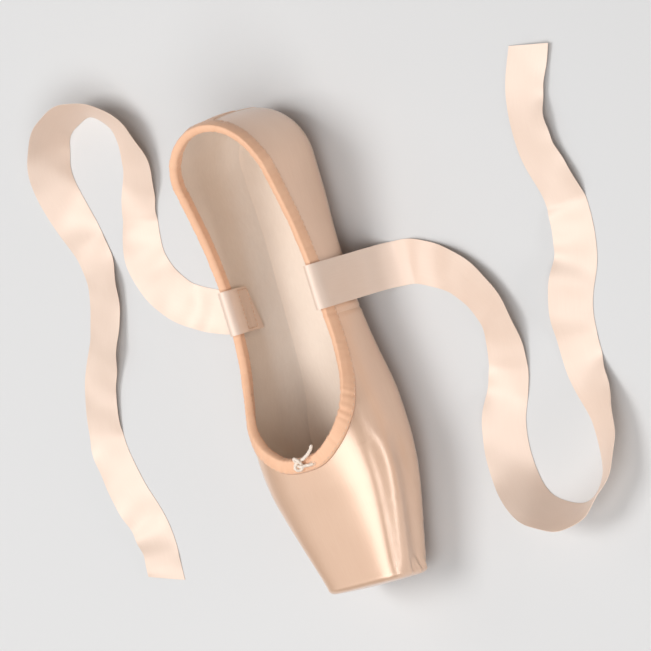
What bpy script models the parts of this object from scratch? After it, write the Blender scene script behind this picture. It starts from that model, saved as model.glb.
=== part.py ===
"""Pointe shoe, standing empty on its sole. +X is towards the toe, +Z is up, and it fits either foot.

Sizes are in millimetres, and MM brings them to Blender's metres where a mesh is made.
"""

import math
from collections import namedtuple

import bmesh
import bpy
import numpy as np
from mathutils import Vector

MM = 0.001

# Driving sizes
LENGTH = 240.0
BALL_WIDTH = 77.0
INSTEP = 54.0
HEEL_HEIGHT = 57.0
HEEL_RADIUS = 30.0
QUARTER_WALL = 1.6
BOX_WALL = 2.8
OUTSOLE_THICKNESS = 2.0
INSOLE_THICKNESS = 1.8
GAP = 0.3

# Places along the shoe
HEEL_BACK = -LENGTH / 2
HEEL_CENTRE = HEEL_BACK + HEEL_RADIUS
THROAT = 50.0
BOX_WALL_START = 20.0
BOX_WALL_FULL = 90.0
TOE_TILT = math.tan(math.radians(5.0))
TILT_START = 85.0
PLATFORM_EDGE = 3.0
PLATFORM_EDGE_INSIDE = 0.8
PLATFORM_DOME = 0.7
PLATFORM_LEAN = 1.24
PLATFORM = LENGTH / 2 - PLATFORM_LEAN
BOX_END = PLATFORM - PLATFORM_EDGE
HEEL_ARC = HEEL_RADIUS * math.pi / 2
EDGE_ARC = PLATFORM_EDGE * math.pi / 2
FACE_RUN = 20.0

# One row for each section of the last: its place, its width as a share of the ball width, the height where
# it is widest, its crown as a share of the instep, and how square it is below and above.
Section = namedtuple("Section", "x width widest crown square_below square_above")
SECTIONS = (
    Section(-90.0, 0.770, 22.0, 1.52, 3.2, 2.2),
    Section(-60.0, 0.760, 21.0, 1.33, 3.2, 2.2),
    Section(-30.0, 0.772, 20.0, 1.17, 3.3, 2.2),
    Section(-5.0, 0.818, 20.0, 1.11, 3.3, 2.3),
    Section(17.0, 0.900, 21.0, 1.07, 3.3, 2.4),
    Section(33.0, 0.968, 22.5, 1.04, 3.2, 2.6),
    Section(THROAT, 1.000, 24.0, 1.00, 3.1, 2.7),
    Section(64.0, 0.968, 24.2, 0.952, 3.1, 2.9),
    Section(76.0, 0.900, 24.2, 0.901, 3.2, 3.1),
    Section(90.0, 0.798, 24.0, 0.845, 3.4, 3.4),
    Section(103.0, 0.700, 24.0, 0.795, 3.6, 3.7),
    Section(BOX_END, 0.606, 24.0, 0.750, 3.8, 4.0),
)

# Height of the collar's edge, as seen from the side
Collar = namedtuple("Collar", "x height")
COLLAR = (
    Collar(HEEL_BACK, HEEL_HEIGHT),
    Collar(-100.0, 54.0),
    Collar(-80.0, 48.0),
    Collar(-55.0, 41.6),
    Collar(-30.0, 38.8),
    Collar(-5.0, 39.3),
    Collar(15.0, 42.8),
    Collar(29.0, 48.0),
    Collar(38.0, 51.5),
    Collar(45.5, 53.5),
    Collar(THROAT, INSTEP),
)

# Rise of the outsole's lower face above the floor: heel seat, arch, tread and toe spring
Rise = namedtuple("Rise", "x height")
SOLE_LINE = (
    Rise(HEEL_BACK, 0.9),
    Rise(-104.0, 0.0),
    Rise(-72.0, 0.0),
    Rise(-46.0, 3.0),
    Rise(-20.0, 5.0),
    Rise(6.0, 3.0),
    Rise(30.0, 0.0),
    Rise(66.0, 0.0),
    Rise(84.0, 1.4),
    Rise(99.0, 3.2),
    Rise(LENGTH / 2, 4.8),
)

# Half width of the outsole between its rounded ends
HalfWidth = namedtuple("HalfWidth", "x half")
SOLE_WIDTH = (
    HalfWidth(HEEL_CENTRE, 16.8),
    HalfWidth(-70.0, 16.2),
    HalfWidth(-46.0, 14.5),
    HalfWidth(-22.0, 14.1),
    HalfWidth(0.0, 15.7),
    HalfWidth(18.0, 18.6),
    HalfWidth(36.0, 22.8),
    HalfWidth(54.0, 24.4),
)
SOLE_HEEL_END = -107.0
SOLE_TOE_END = 97.0
SOLE_TOE_START = 54.0
HEEL_SQUARENESS = 2.7
SOLE_LAP = 4.0
SOLE_EDGE_LIFT = 0.9
SOLE_FLAT_SHARE = 0.78
INSOLE_MARGIN = 2.0
INSOLE_EDGE_TAPER = 0.35
ROUND_END = 7.0

# Binding: a tape folded over the collar, with a soft swelling where the drawstring runs in it
BINDING_DEPTH = 6.4
BINDING_INSIDE_DEPTH = 5.6
BINDING_TAPE = 0.9
BINDING_SWELL = 0.15
BINDING_HEM = 0.7
BINDING_HEM_SHARE = 0.6

# Ribbons: satin tape sewn inside each quarter behind the side seam, led over the collar and laid on the
# floor. One row for each point of the route, on the side of positive y: where the tape's middle runs, and
# how far it rolls from lying flat, in degrees.
RIBBON_WIDTH = 22.0
RIBBON_THICKNESS = 0.5
RIBBON_STEP = 9.0
FOLD_STEP = 2.4
FOLD_RUN = 44.0
RIBBON_SLANT = 5.0
Way = namedtuple("Way", "x y z roll")
RIBBON_START = (
    Way(-27.0, 27.2, 18.0, 0.0),
    Way(-27.0, 26.9, 25.0, 0.0),
    Way(-27.0, 24.9, 31.5, 0.0),
    Way(-27.0, 23.7, 36.0, 0.0),
    Way(-27.0, 23.7, 39.2, 0.0),
    Way(-27.0, 25.0, 41.2, 0.0),
    Way(-27.0, 27.3, 41.7, 0.0),
    Way(-27.0, 29.6, 40.3, 0.0),
    Way(-27.0, 30.8, 37.2, 0.0),
    Way(-27.0, 31.4, 31.0, 0.0),
    Way(-27.0, 33.2, 19.0, 0.0),
    Way(-27.0, 38.0, 8.0, 0.0),
    Way(-26.5, 47.5, 1.2, 0.0),
)
RIBBON_LEFT = (
    Way(-24.0, 62.0, 0.0, 6.0),
    Way(-12.0, 82.0, 0.0, 16.0),
    Way(10.0, 95.0, 0.0, 20.0),
    Way(36.0, 93.0, 0.0, 6.0),
    Way(60.0, 83.0, 0.0, -8.0),
    Way(84.0, 81.0, 0.0, -24.0),
    Way(105.0, 92.0, 0.0, -52.0),
    Way(111.0, 113.0, 0.0, -66.0),
    Way(98.0, 131.0, 0.0, -56.0),
    Way(72.0, 138.0, 0.0, -26.0),
    Way(44.0, 134.0, 0.0, 0.0),
    Way(17.0, 137.0, 0.0, 14.0),
    Way(-8.0, 148.0, 0.0, 10.0),
    Way(-34.0, 150.0, 0.0, 0.0),
    Way(-59.0, 144.0, 0.0, -8.0),
    Way(-83.0, 146.0, 0.0, -4.0),
    Way(-105.0, 156.0, 0.0, 0.0),
)
RIBBON_RIGHT = (
    Way(-30.0, 62.0, 0.0, -6.0),
    Way(-41.0, 82.0, 0.0, -14.0),
    Way(-63.0, 95.0, 0.0, -18.0),
    Way(-89.0, 93.0, 0.0, 0.0),
    Way(-112.0, 84.0, 0.0, 14.0),
    Way(-136.0, 87.0, 0.0, 44.0),
    Way(-148.0, 106.0, 0.0, 64.0),
    Way(-139.0, 127.0, 0.0, 58.0),
    Way(-115.0, 136.0, 0.0, 30.0),
    Way(-88.0, 131.0, 0.0, 6.0),
    Way(-61.0, 128.0, 0.0, -10.0),
    Way(-34.0, 137.0, 0.0, -14.0),
    Way(-10.0, 150.0, 0.0, -8.0),
    Way(16.0, 156.0, 0.0, 0.0),
    Way(42.0, 152.0, 0.0, 8.0),
    Way(68.0, 144.0, 0.0, 6.0),
    Way(92.0, 145.0, 0.0, 0.0),
)

# Drawstring: out of the casing at the throat, an overhand knot, and one short end. The rows place both ends
# from the knot's own first or last point, except that up is from the binding's face.
CORD_DIAMETER = 1.5
KNOT_SCALE = 1.12
KNOT_LIFT = 0.95
KNOT_OPENS = 0.62
KNOT_POINTS = 34
KNOT_AHEAD = 0.8
End = namedtuple("End", "aside ahead up")
CASING_END = (
    End(3.2, 0.5, 0.0),
    End(1.6, 0.2, 0.5),
)
FREE_END = (
    End(2.0, -0.4, 1.3),
    End(4.6, -1.7, 0.3),
    End(7.4, -3.6, 0.2),
    End(9.6, -6.0, 0.9),
)

# Small moves along the last and round it, over which its slopes are taken
STEP = 0.4
TURN = 0.01

# How finely the surfaces are divided
FAN_RIBS = 8
QUARTER_RIBS = 15
VAMP_RIBS = 8
TOE_RIBS = 4
EDGE_RIBS = 3
FACE_RIBS = 3
ROWS = 15
CROWDING = 1.7
ROUND_END_ROWS = 3
ROUTE_SAMPLES = 24


def smooth(table, column, x):
    """The table's column at x, on a curve through its rows that never swings past them."""
    xs = np.array([row.x for row in table])
    ys = np.array([getattr(row, column) for row in table])
    steps = np.diff(xs)
    slopes = np.diff(ys) / steps
    before, after = slopes[:-1], slopes[1:]
    same_way = before * after > 0
    bends = np.concatenate([slopes[:1], np.zeros(len(xs) - 2), slopes[-1:]])
    bends[1:-1][same_way] = 2 * before[same_way] * after[same_way] / (before + after)[same_way]
    x = np.clip(x, xs[0], xs[-1])
    i = int(np.clip(np.searchsorted(xs, x) - 1, 0, len(xs) - 2))
    t = (x - xs[i]) / steps[i]
    rise = bends[i] * (1 - t) ** 2 * t * steps[i] - bends[i + 1] * t**2 * (1 - t) * steps[i]
    return ys[i] * (1 - t) ** 2 * (1 + 2 * t) + ys[i + 1] * t**2 * (3 - 2 * t) + rise


def underside_height(x):
    """Height of the upper's underside on the centre line."""
    return smooth(SOLE_LINE, "height", x) + OUTSOLE_THICKNESS + GAP


def wall_at(x):
    """The wall is soft cloth in the quarters, and paste-stiffened layers in the box."""
    share = (x - BOX_WALL_START) / (BOX_WALL_FULL - BOX_WALL_START)
    return QUARTER_WALL + (BOX_WALL - QUARTER_WALL) * min(max(share, 0.0), 1.0)


def place_of(u):
    """The rib at u, a distance from the back seam along the wall: its x, its turn, its run past the box."""
    fan = min(max(u / HEEL_ARC, -1.0), 1.0) * math.pi / 2
    x = HEEL_CENTRE + max(u - HEEL_ARC, 0.0)
    return min(x, BOX_END), fan, max(x - BOX_END, 0.0)


def last_point(u, theta, inset=0.0):
    """The last's surface on rib u, at theta from the bottom centre (0) by the side to the crown (pi)."""
    x, fan, past = place_of(u)
    edge_turn = min(past / EDGE_ARC, 1.0) * math.pi / 2
    edge = max(PLATFORM_EDGE - inset, PLATFORM_EDGE_INSIDE)
    shrink = edge * (1 - math.cos(edge_turn)) + inset
    scale = 1 - min(max(past - EDGE_ARC, 0.0) / FACE_RUN, 1.0)

    middle = smooth(SECTIONS, "widest", x)
    half_width = BALL_WIDTH / 2 * smooth(SECTIONS, "width", x) - shrink
    below = middle - underside_height(x) - shrink
    above = smooth(SECTIONS, "crown", x) * INSTEP - middle - shrink
    low = math.cos(theta) > 0
    square = smooth(SECTIONS, "square_below" if low else "square_above", x)
    across, up = abs(math.sin(theta)), abs(math.cos(theta))
    reach = (across**square + up**square) ** (1 / square)
    across, up = math.sin(theta) / reach * scale, -math.cos(theta) / reach * scale

    z = middle + up * (below if low else above)
    ramp = min(max((x - TILT_START) / (BOX_END - TILT_START), 0.0), 1.0)
    x += edge * math.sin(edge_turn) + PLATFORM_DOME * (1 - scale**2)
    x -= TOE_TILT * ramp**2 * (z - middle)
    back = (HEEL_RADIUS - inset) * math.cos(fan)
    return Vector((x - across * back, across * half_width * math.sin(fan), z))


def half_turn_at(share_across, square):
    """Angle from the section's nearest pole at which it reaches this share of its half width."""
    up = max(1 - share_across**square, 0.0) ** (1 / square)
    return math.atan2(share_across, up)


def sole_half_width(x, inset=0.0):
    """Half width of the outsole's outline, brought in by inset all round."""
    if x > SOLE_TOE_START:
        run = (x - SOLE_TOE_START) / (SOLE_TOE_END - SOLE_TOE_START - inset)
        return (SOLE_WIDTH[-1].half - inset) * math.sqrt(max(1 - run**2, 0.0))
    half = smooth(SOLE_WIDTH, "half", x) - inset
    if x < HEEL_CENTRE:
        run = (HEEL_CENTRE - x) / (HEEL_CENTRE - SOLE_HEEL_END - inset)
        half *= max(1 - min(run, 1.0) ** HEEL_SQUARENESS, 0.0) ** (1 / HEEL_SQUARENESS)
    return half


def opening_turn(u):
    """Theta of the edge that the upper has under the foot, or 0 where it is closed."""
    x, fan, past = place_of(u)
    if past or x >= SOLE_TOE_END - SOLE_LAP:
        return 0.0
    half_width = BALL_WIDTH / 2 * smooth(SECTIONS, "width", x)
    if fan < math.pi / 2:
        along = HEEL_RADIUS * math.cos(fan) / (HEEL_CENTRE - SOLE_HEEL_END - SOLE_LAP)
        aside = half_width * math.sin(fan) / (SOLE_WIDTH[0].half - SOLE_LAP)
        share = (along**HEEL_SQUARENESS + aside**HEEL_SQUARENESS) ** (-1 / HEEL_SQUARENESS)
    else:
        share = sole_half_width(x, SOLE_LAP) / half_width
    return half_turn_at(share, smooth(SECTIONS, "square_below", x))


def collar_turn(u):
    """Theta of the collar's edge, or pi where the vamp is closed."""
    x, fan, past = place_of(u)
    if past or x >= THROAT:
        return math.pi
    middle = smooth(SECTIONS, "widest", x)
    crown = smooth(SECTIONS, "crown", x) * INSTEP
    height = smooth(COLLAR, "height", x - HEEL_RADIUS * math.cos(fan))
    up = min((height - middle) / (crown - middle), 1.0)
    square = smooth(SECTIONS, "square_above", x)
    across = max(1 - up**square, 0.0) ** (1 / square)
    return math.pi - math.atan2(across, up)


def crowded(start, end, count):
    """Places from after start to end, closer together as they near end."""
    return [end - (end - start) * (1 - k / count) ** CROWDING for k in range(1, count + 1)]


def rib_places():
    """Values of u for the upper's ribs, from the back seam to the middle of the platform."""
    to_u = HEEL_ARC - HEEL_CENTRE
    places = [HEEL_ARC * k / FAN_RIBS for k in range(FAN_RIBS + 1)]
    places += [x + to_u for x in crowded(HEEL_CENTRE, THROAT, QUARTER_RIBS)]
    opening_end = SOLE_TOE_END - SOLE_LAP
    places += [x + to_u for x in crowded(THROAT, opening_end, VAMP_RIBS)]
    toe = BOX_END - opening_end
    places += [opening_end + toe * k / TOE_RIBS + to_u for k in range(1, TOE_RIBS + 1)]
    places += [BOX_END + to_u + EDGE_ARC * k / EDGE_RIBS for k in range(1, EDGE_RIBS + 1)]
    face = BOX_END + to_u + EDGE_ARC
    return places + [face + FACE_RUN * k / FACE_RIBS for k in range(1, FACE_RIBS + 1)]


def rib_turns(u, rows):
    """Thetas along rib u, equally far apart on the surface, from the sole's edge to the collar's."""
    fine = np.linspace(opening_turn(u), collar_turn(u), 80)
    points = np.array([last_point(u, theta) for theta in fine])
    run = np.concatenate([[0], np.cumsum(np.linalg.norm(np.diff(points, axis=0), axis=1))])
    if run[-1] == 0:
        return np.linspace(0, math.pi, rows + 1)
    return np.interp(np.linspace(0, run[-1], rows + 1), run, fine)


def material(name, colour, roughness):
    made = bpy.data.materials.new(name)
    made.use_nodes = True
    shader = made.node_tree.nodes["Principled BSDF"]
    shader.inputs["Base Color"].default_value = (*colour, 1.0)
    shader.inputs["Roughness"].default_value = roughness
    shader.inputs["Metallic"].default_value = 0.0
    return made


def add_object(name, mesh_or_curve, finish):
    made = bpy.data.objects.new(name, mesh_or_curve)
    made.data.materials.append(finish)
    bpy.context.collection.objects.link(made)
    return made


def close_mesh(name, points, faces, finish, sharp_angle=50.0):
    """One smooth-shaded solid from points in millimetres, welded where its patches meet."""
    mesh = bpy.data.meshes.new(name)
    mesh.from_pydata([Vector(point) * MM for point in points], [], faces)
    work = bmesh.new()
    work.from_mesh(mesh)
    bmesh.ops.remove_doubles(work, verts=work.verts, dist=1e-7)
    bmesh.ops.dissolve_degenerate(work, edges=work.edges, dist=1e-7)
    bmesh.ops.recalc_face_normals(work, faces=work.faces)
    bmesh.ops.triangulate(work, faces=work.faces)
    work.to_mesh(mesh)
    work.free()
    mesh.shade_smooth()
    mesh.set_sharp_from_angle(angle=math.radians(sharp_angle))
    return add_object(name, mesh, finish)


def flipped(point):
    return Vector((point.x, -point.y, point.z))


def grid_faces(first, columns, rows):
    """Quads over a grid of points that is stored column after column."""
    faces = []
    for i in range(columns - 1):
        for j in range(rows - 1):
            corner = first + i * rows + j
            faces.append((corner, corner + 1, corner + rows + 1, corner + rows))
    return faces


def make_upper(finish):
    """A hollow shell: outer and inner skin on the last's own sections, joined at the collar and the sole."""
    places = rib_places()
    turns = [rib_turns(u, ROWS) for u in places]
    skins = []
    for inner in (False, True):
        ribs = []
        for u, thetas in zip(places, turns):
            inset = wall_at(place_of(u)[0]) if inner else 0.0
            ribs.append([last_point(u, theta, inset) for theta in thetas])
        skins.append(ribs)

    points, faces = [], []
    for side in (lambda point: point, flipped):
        for ribs in skins:
            faces += grid_faces(len(points), len(places), ROWS + 1)
            points += [side(point) for rib in ribs for point in rib]
        outer, inner = skins
        for row, closed_at in ((0, 0.0), (ROWS, math.pi)):
            for i in range(len(places) - 1):
                ends = (turns[i][row], turns[i + 1][row])
                if all(abs(end - closed_at) < 1e-9 for end in ends):
                    continue
                faces.append(tuple(range(len(points), len(points) + 4)))
                rim = (outer[i][row], outer[i + 1][row], inner[i + 1][row], inner[i][row])
                points += [side(point) for point in rim]
    return close_mesh("upper", points, faces, finish)


def underside_at(x, y, inset=0.0):
    """Height of the last's lower surface over a point of the floor."""
    x_section = max(x, HEEL_CENTRE)
    half_width = BALL_WIDTH / 2 * smooth(SECTIONS, "width", x_section) - inset
    behind = max(HEEL_CENTRE - x, 0.0) / (HEEL_RADIUS - inset)
    share = min(math.hypot(behind, y / half_width), 1.0)
    middle = smooth(SECTIONS, "widest", x_section)
    square = smooth(SECTIONS, "square_below", x_section)
    below = middle - underside_height(x_section) - inset
    return middle - below * (1 - share**square) ** (1 / square)


def plate_places(heel_end, toe_end):
    """Places along a plate: close together at its round ends, and a row where each flat starts and stops."""
    ends = [ROUND_END * (k / ROUND_END_ROWS) ** CROWDING for k in range(ROUND_END_ROWS + 1)]
    rows = [row.x for row in SOLE_LINE]
    rows += [(a + b) / 2 for a, b in zip(rows, rows[1:])]
    rows = [x for x in rows if heel_end + ROUND_END + 1 < x < toe_end - ROUND_END - 1]
    return sorted([heel_end + run for run in ends] + rows + [toe_end - run for run in ends])


def make_plate(name, heel_end, toe_end, half_width, lower, upper, shares, finish):
    """A plate with round ends, from the heights of its two faces over a grid of the floor."""
    places = plate_places(heel_end, toe_end)
    points, faces = [], []
    for face in (lower, upper):
        faces += grid_faces(len(points), len(places), len(shares))
        for x in places:
            for s in shares:
                y = s * half_width(x)
                to_edge = 1.0 if x in (places[0], places[-1]) else abs(s)
                points.append(Vector((x, y, face(x, y, to_edge))))
    size = len(places) * len(shares)
    for row in (0, len(shares) - 1):
        for i in range(len(places) - 1):
            a = i * len(shares) + row
            b = a + len(shares)
            faces.append((a, b, b + size, a + size))
    for i in (0, len(places) - 1):
        for j in range(len(shares) - 1):
            a = i * len(shares) + j
            faces.append((a, a + 1, a + 1 + size, a + size))
    return close_mesh(name, points, faces, finish, 35.0)


def make_outsole(finish):
    """Leather plate under the upper, flat under heel and forefoot, skived at its edge."""
    shares = (-1.0, -SOLE_FLAT_SHARE, -0.4, 0.0, 0.4, SOLE_FLAT_SHARE, 1.0)

    def lower(x, y, share):
        edge = max(share - SOLE_FLAT_SHARE, 0.0) / (1 - SOLE_FLAT_SHARE)
        return smooth(SOLE_LINE, "height", x) + SOLE_EDGE_LIFT * edge

    def upper(x, y, share):
        return underside_at(x, y) - GAP

    return make_plate(
        "outsole", SOLE_HEEL_END, SOLE_TOE_END, sole_half_width, lower, upper, shares, finish
    )


def make_insole(finish):
    """Sock board inside, over the upper's lasted edge."""
    shares = (-1.0, -0.72, -0.36, 0.0, 0.36, 0.72, 1.0)

    def half_width(x):
        return sole_half_width(x, -INSOLE_MARGIN)

    def lower(x, y, share):
        return underside_at(x, y, wall_at(x)) + GAP

    def upper(x, y, share):
        return lower(x, y, share) + INSOLE_THICKNESS * (1 - INSOLE_EDGE_TAPER * share**4)

    return make_plate(
        "insole",
        SOLE_HEEL_END - INSOLE_MARGIN,
        SOLE_TOE_END + INSOLE_MARGIN,
        half_width,
        lower,
        upper,
        shares,
        finish,
    )


def collar_section(u):
    """The binding's outline across the collar at rib u, from its outer hem over the edge to the inner hem."""
    theta = collar_turn(u)
    wall = wall_at(place_of(u)[0])
    along = last_point(u + STEP, collar_turn(u + STEP)) - last_point(u - STEP, collar_turn(u - STEP))
    if place_of(u)[0] >= THROAT:
        along = Vector((0.0, -1.0, 0.0))
    by_u = (last_point(u + STEP, theta) - last_point(u - STEP, theta)) / (2 * STEP)
    by_turn = (last_point(u, theta + TURN) - last_point(u, theta - TURN)) / (2 * TURN)
    away = by_turn.cross(by_u).cross(along).normalized()
    down_wall, *_ = np.linalg.lstsq(np.array([by_u, by_turn]).T, np.array(away), rcond=None)

    def beside(inside, down, off):
        """A point this far down the wall from the edge, and this far off the wall."""
        inset = wall if inside else 0.0
        place, angle = u + down_wall[0] * down, theta + down_wall[1] * down
        east = last_point(place + STEP, angle, inset) - last_point(place - STEP, angle, inset)
        north = last_point(place, angle + TURN, inset) - last_point(place, angle - TURN, inset)
        outward = north.cross(east).normalized()
        return last_point(place, angle, inset) + outward * (-off if inside else off)

    full = GAP + BINDING_TAPE
    crest = (last_point(u, theta) + last_point(u, theta, wall)) / 2 - away * full
    return [
        beside(False, BINDING_DEPTH, GAP),
        beside(False, BINDING_DEPTH, GAP + BINDING_TAPE * BINDING_HEM_SHARE),
        beside(False, BINDING_DEPTH - BINDING_HEM, full),
        beside(False, BINDING_DEPTH / 2, full + BINDING_SWELL),
        beside(False, -GAP, full),
        crest,
        beside(True, -GAP, full),
        beside(True, BINDING_INSIDE_DEPTH, full),
        beside(True, BINDING_INSIDE_DEPTH, GAP),
        beside(True, -GAP, GAP),
        beside(False, -GAP, GAP),
        beside(False, BINDING_DEPTH / 2, GAP),
    ]


def make_binding(finish):
    """Tape folded over the whole collar, swept from the back seam to the throat and mirrored."""
    throat = THROAT - HEEL_CENTRE + HEEL_ARC
    places = [u for u in rib_places() if u <= throat + 1e-6]
    sections = [collar_section(u) for u in places]
    corners = len(sections[0])
    points, faces = [], []
    for side in (lambda point: point, flipped):
        first = len(points)
        points += [side(point) for section in sections for point in section]
        for i in range(len(sections) - 1):
            for j in range(corners):
                a, b = first + i * corners + j, first + i * corners + (j + 1) % corners
                faces.append((a, b, b + corners, a + corners))
    return close_mesh("binding", points, faces, finish)


def rounded_route(ways):
    """Rows along a smooth curve through the route's points, close together over the collar's fold."""
    knots = np.array(ways)
    knots = np.vstack([2 * knots[0] - knots[1], knots, 2 * knots[-1] - knots[-2]])
    curve = []
    for i in range(1, len(knots) - 2):
        before, here, there, after = knots[i - 1 : i + 3]
        for t in np.linspace(0, 1, ROUTE_SAMPLES, endpoint=False):
            bend = (2 * before - 5 * here + 4 * there - after) * t**2
            twist = (3 * here - before - 3 * there + after) * t**3
            curve.append(here + 0.5 * ((there - before) * t + bend + twist))
    curve = np.array(curve + [knots[-2]])
    run = np.concatenate([[0], np.cumsum(np.linalg.norm(np.diff(curve[:, :3], axis=0), axis=1))])
    fold = np.arange(0, FOLD_RUN, FOLD_STEP)
    rest = np.linspace(FOLD_RUN, run[-1], round((run[-1] - FOLD_RUN) / RIBBON_STEP) + 1)
    return np.array([np.interp([*fold, *rest], run, column) for column in curve.T]).T


def make_ribbon(name, ways, side, finish):
    """A flat tape along its route, on the positive or the negative side, with both ends cut slanting."""
    route = rounded_route(ways)
    centres = [Vector(row[:3]) for row in route]
    across = Vector((1.0, 0.0, 0.0))
    points = []
    for i, centre in enumerate(centres):
        ahead = (centres[min(i + 1, len(centres) - 1)] - centres[max(i - 1, 0)]).normalized()
        across = (across - ahead * across.dot(ahead)).normalized()
        face = ahead.cross(across)
        roll = math.radians(route[i][3])
        wide = (across * math.cos(roll) + face * math.sin(roll)) * RIBBON_WIDTH / 2
        thick = ahead.cross(wide).normalized() * RIBBON_THICKNESS / 2
        slant = {0: -RIBBON_SLANT, len(centres) - 1: RIBBON_SLANT}.get(i, 0.0) / 2
        lowest = centre.z - abs(wide.z) - abs(thick.z)
        centre = centre + Vector((0.0, 0.0, max(GAP - lowest, 0.0)))
        for w, t in ((-1, -1), (1, -1), (1, 1), (-1, 1)):
            points.append(centre + wide * w + thick * t + ahead * slant * w)
    points = [Vector((point.x, point.y * side, point.z)) for point in points]
    faces = [(0, 1, 2, 3), tuple(range(len(points) - 4, len(points)))]
    for i in range(len(centres) - 1):
        for j in range(4):
            a, b = i * 4 + j, i * 4 + (j + 1) % 4
            faces.append((a, b, b + 4, a + 4))
    return close_mesh(name, points, faces, finish)


def knot_points():
    """The drawstring's middle line: out of the casing, round an overhand knot, and away along the binding."""
    u = THROAT - HEEL_CENTRE + HEEL_ARC + KNOT_AHEAD
    base = last_point(u, math.pi)
    ahead = (last_point(u + 1, math.pi) - last_point(u - 1, math.pi)).normalized()
    aside = Vector((0.0, 1.0, 0.0))
    up = ahead.cross(aside)
    binding_face = GAP + BINDING_TAPE + BINDING_SWELL
    base = base + up * (binding_face + GAP + CORD_DIAMETER / 2)
    knot = []
    for t in np.linspace(math.pi + KNOT_OPENS, 3 * math.pi - KNOT_OPENS, KNOT_POINTS):
        one = (2 * math.cos(2 * t) - math.cos(t)) * KNOT_SCALE
        two = (math.sin(t) + 2 * math.sin(2 * t)) * KNOT_SCALE
        knot.append(End(one, two, KNOT_LIFT * (1 - math.sin(3 * t))))
    line = [End(knot[0].aside + row.aside, knot[0].ahead + row.ahead, row.up) for row in CASING_END]
    line += knot
    line += [End(knot[-1].aside + row.aside, knot[-1].ahead + row.ahead, row.up) for row in FREE_END]
    return [base + aside * row.aside + ahead * row.ahead + up * row.up for row in line]


def make_drawstring(finish):
    curve = bpy.data.curves.new("drawstring", "CURVE")
    curve.dimensions = "3D"
    curve.bevel_depth = CORD_DIAMETER / 2 * MM
    curve.bevel_resolution = 2
    curve.use_fill_caps = True
    line = knot_points()
    spline = curve.splines.new("POLY")
    spline.points.add(len(line) - 1)
    for target, point in zip(spline.points, line):
        target.co = (*(point * MM), 1.0)
    return add_object("drawstring", curve, finish)


def clear_scene():
    for old in list(bpy.data.objects):
        bpy.data.objects.remove(old, do_unlink=True)


def main():
    clear_scene()
    satin = material("peach_satin", (0.83, 0.62, 0.48), 0.35)
    suede = material("tan_leather", (0.60, 0.46, 0.37), 0.80)
    board = material("pale_board", (0.78, 0.70, 0.60), 0.85)
    tape = material("apricot_tape", (0.90, 0.58, 0.38), 0.55)
    string = material("cream_cotton", (0.90, 0.80, 0.70), 0.75)
    make_upper(satin)
    make_outsole(suede)
    make_insole(board)
    make_binding(tape)
    make_drawstring(string)
    make_ribbon("ribbon_left", RIBBON_START + RIBBON_LEFT, 1, satin)
    make_ribbon("ribbon_right", RIBBON_START + RIBBON_RIGHT, -1, satin)


main()
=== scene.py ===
"""Looks of the pointe shoe: creased satin, lining, gathered binding, knotted cord, hatched sole, ribbons.

Sizes are in millimetres, as in the part's source, and MM brings them to metres where a mesh is made.
"""

import math
from collections import namedtuple

import bmesh
import bpy
import numpy as np
from mathutils import Matrix, Vector


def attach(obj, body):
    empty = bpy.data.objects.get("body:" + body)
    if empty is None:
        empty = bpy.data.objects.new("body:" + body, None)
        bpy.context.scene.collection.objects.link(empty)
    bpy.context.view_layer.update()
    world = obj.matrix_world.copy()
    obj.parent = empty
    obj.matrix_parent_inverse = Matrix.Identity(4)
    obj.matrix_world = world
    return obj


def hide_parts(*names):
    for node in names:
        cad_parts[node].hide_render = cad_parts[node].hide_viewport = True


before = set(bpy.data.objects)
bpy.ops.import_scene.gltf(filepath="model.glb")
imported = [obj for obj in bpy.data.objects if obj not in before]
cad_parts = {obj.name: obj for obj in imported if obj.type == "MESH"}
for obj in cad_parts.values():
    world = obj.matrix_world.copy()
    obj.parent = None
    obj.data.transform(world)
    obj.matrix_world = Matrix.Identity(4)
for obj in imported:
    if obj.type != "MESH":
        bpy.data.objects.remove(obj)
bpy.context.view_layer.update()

MM = 0.001
BODY = "root"

# Driving sizes of the shoe, as in the part's source
LENGTH = 240.0
BALL_WIDTH = 77.0
INSTEP = 54.0
HEEL_HEIGHT = 57.0
HEEL_RADIUS = 30.0
QUARTER_WALL = 1.6
BOX_WALL = 2.8
BOX_WALL_START = 20.0
BOX_WALL_FULL = 90.0
OUTSOLE_THICKNESS = 2.0
INSOLE_THICKNESS = 1.8
GAP = 0.3
HEEL_BACK = -LENGTH / 2
HEEL_CENTRE = HEEL_BACK + HEEL_RADIUS
THROAT = 50.0
TOE_TILT = math.tan(math.radians(5.0))
TILT_START = 85.0
PLATFORM_EDGE = 3.0
PLATFORM_EDGE_INSIDE = 0.8
PLATFORM_DOME = 0.7
PLATFORM_LEAN = 1.24
PLATFORM = LENGTH / 2 - PLATFORM_LEAN
BOX_END = PLATFORM - PLATFORM_EDGE
HEEL_ARC = HEEL_RADIUS * math.pi / 2
EDGE_ARC = PLATFORM_EDGE * math.pi / 2
FACE_RUN = 20.0
BOX_END_RUN = BOX_END - HEEL_CENTRE + HEEL_ARC
THROAT_RUN = THROAT - HEEL_CENTRE + HEEL_ARC

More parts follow.
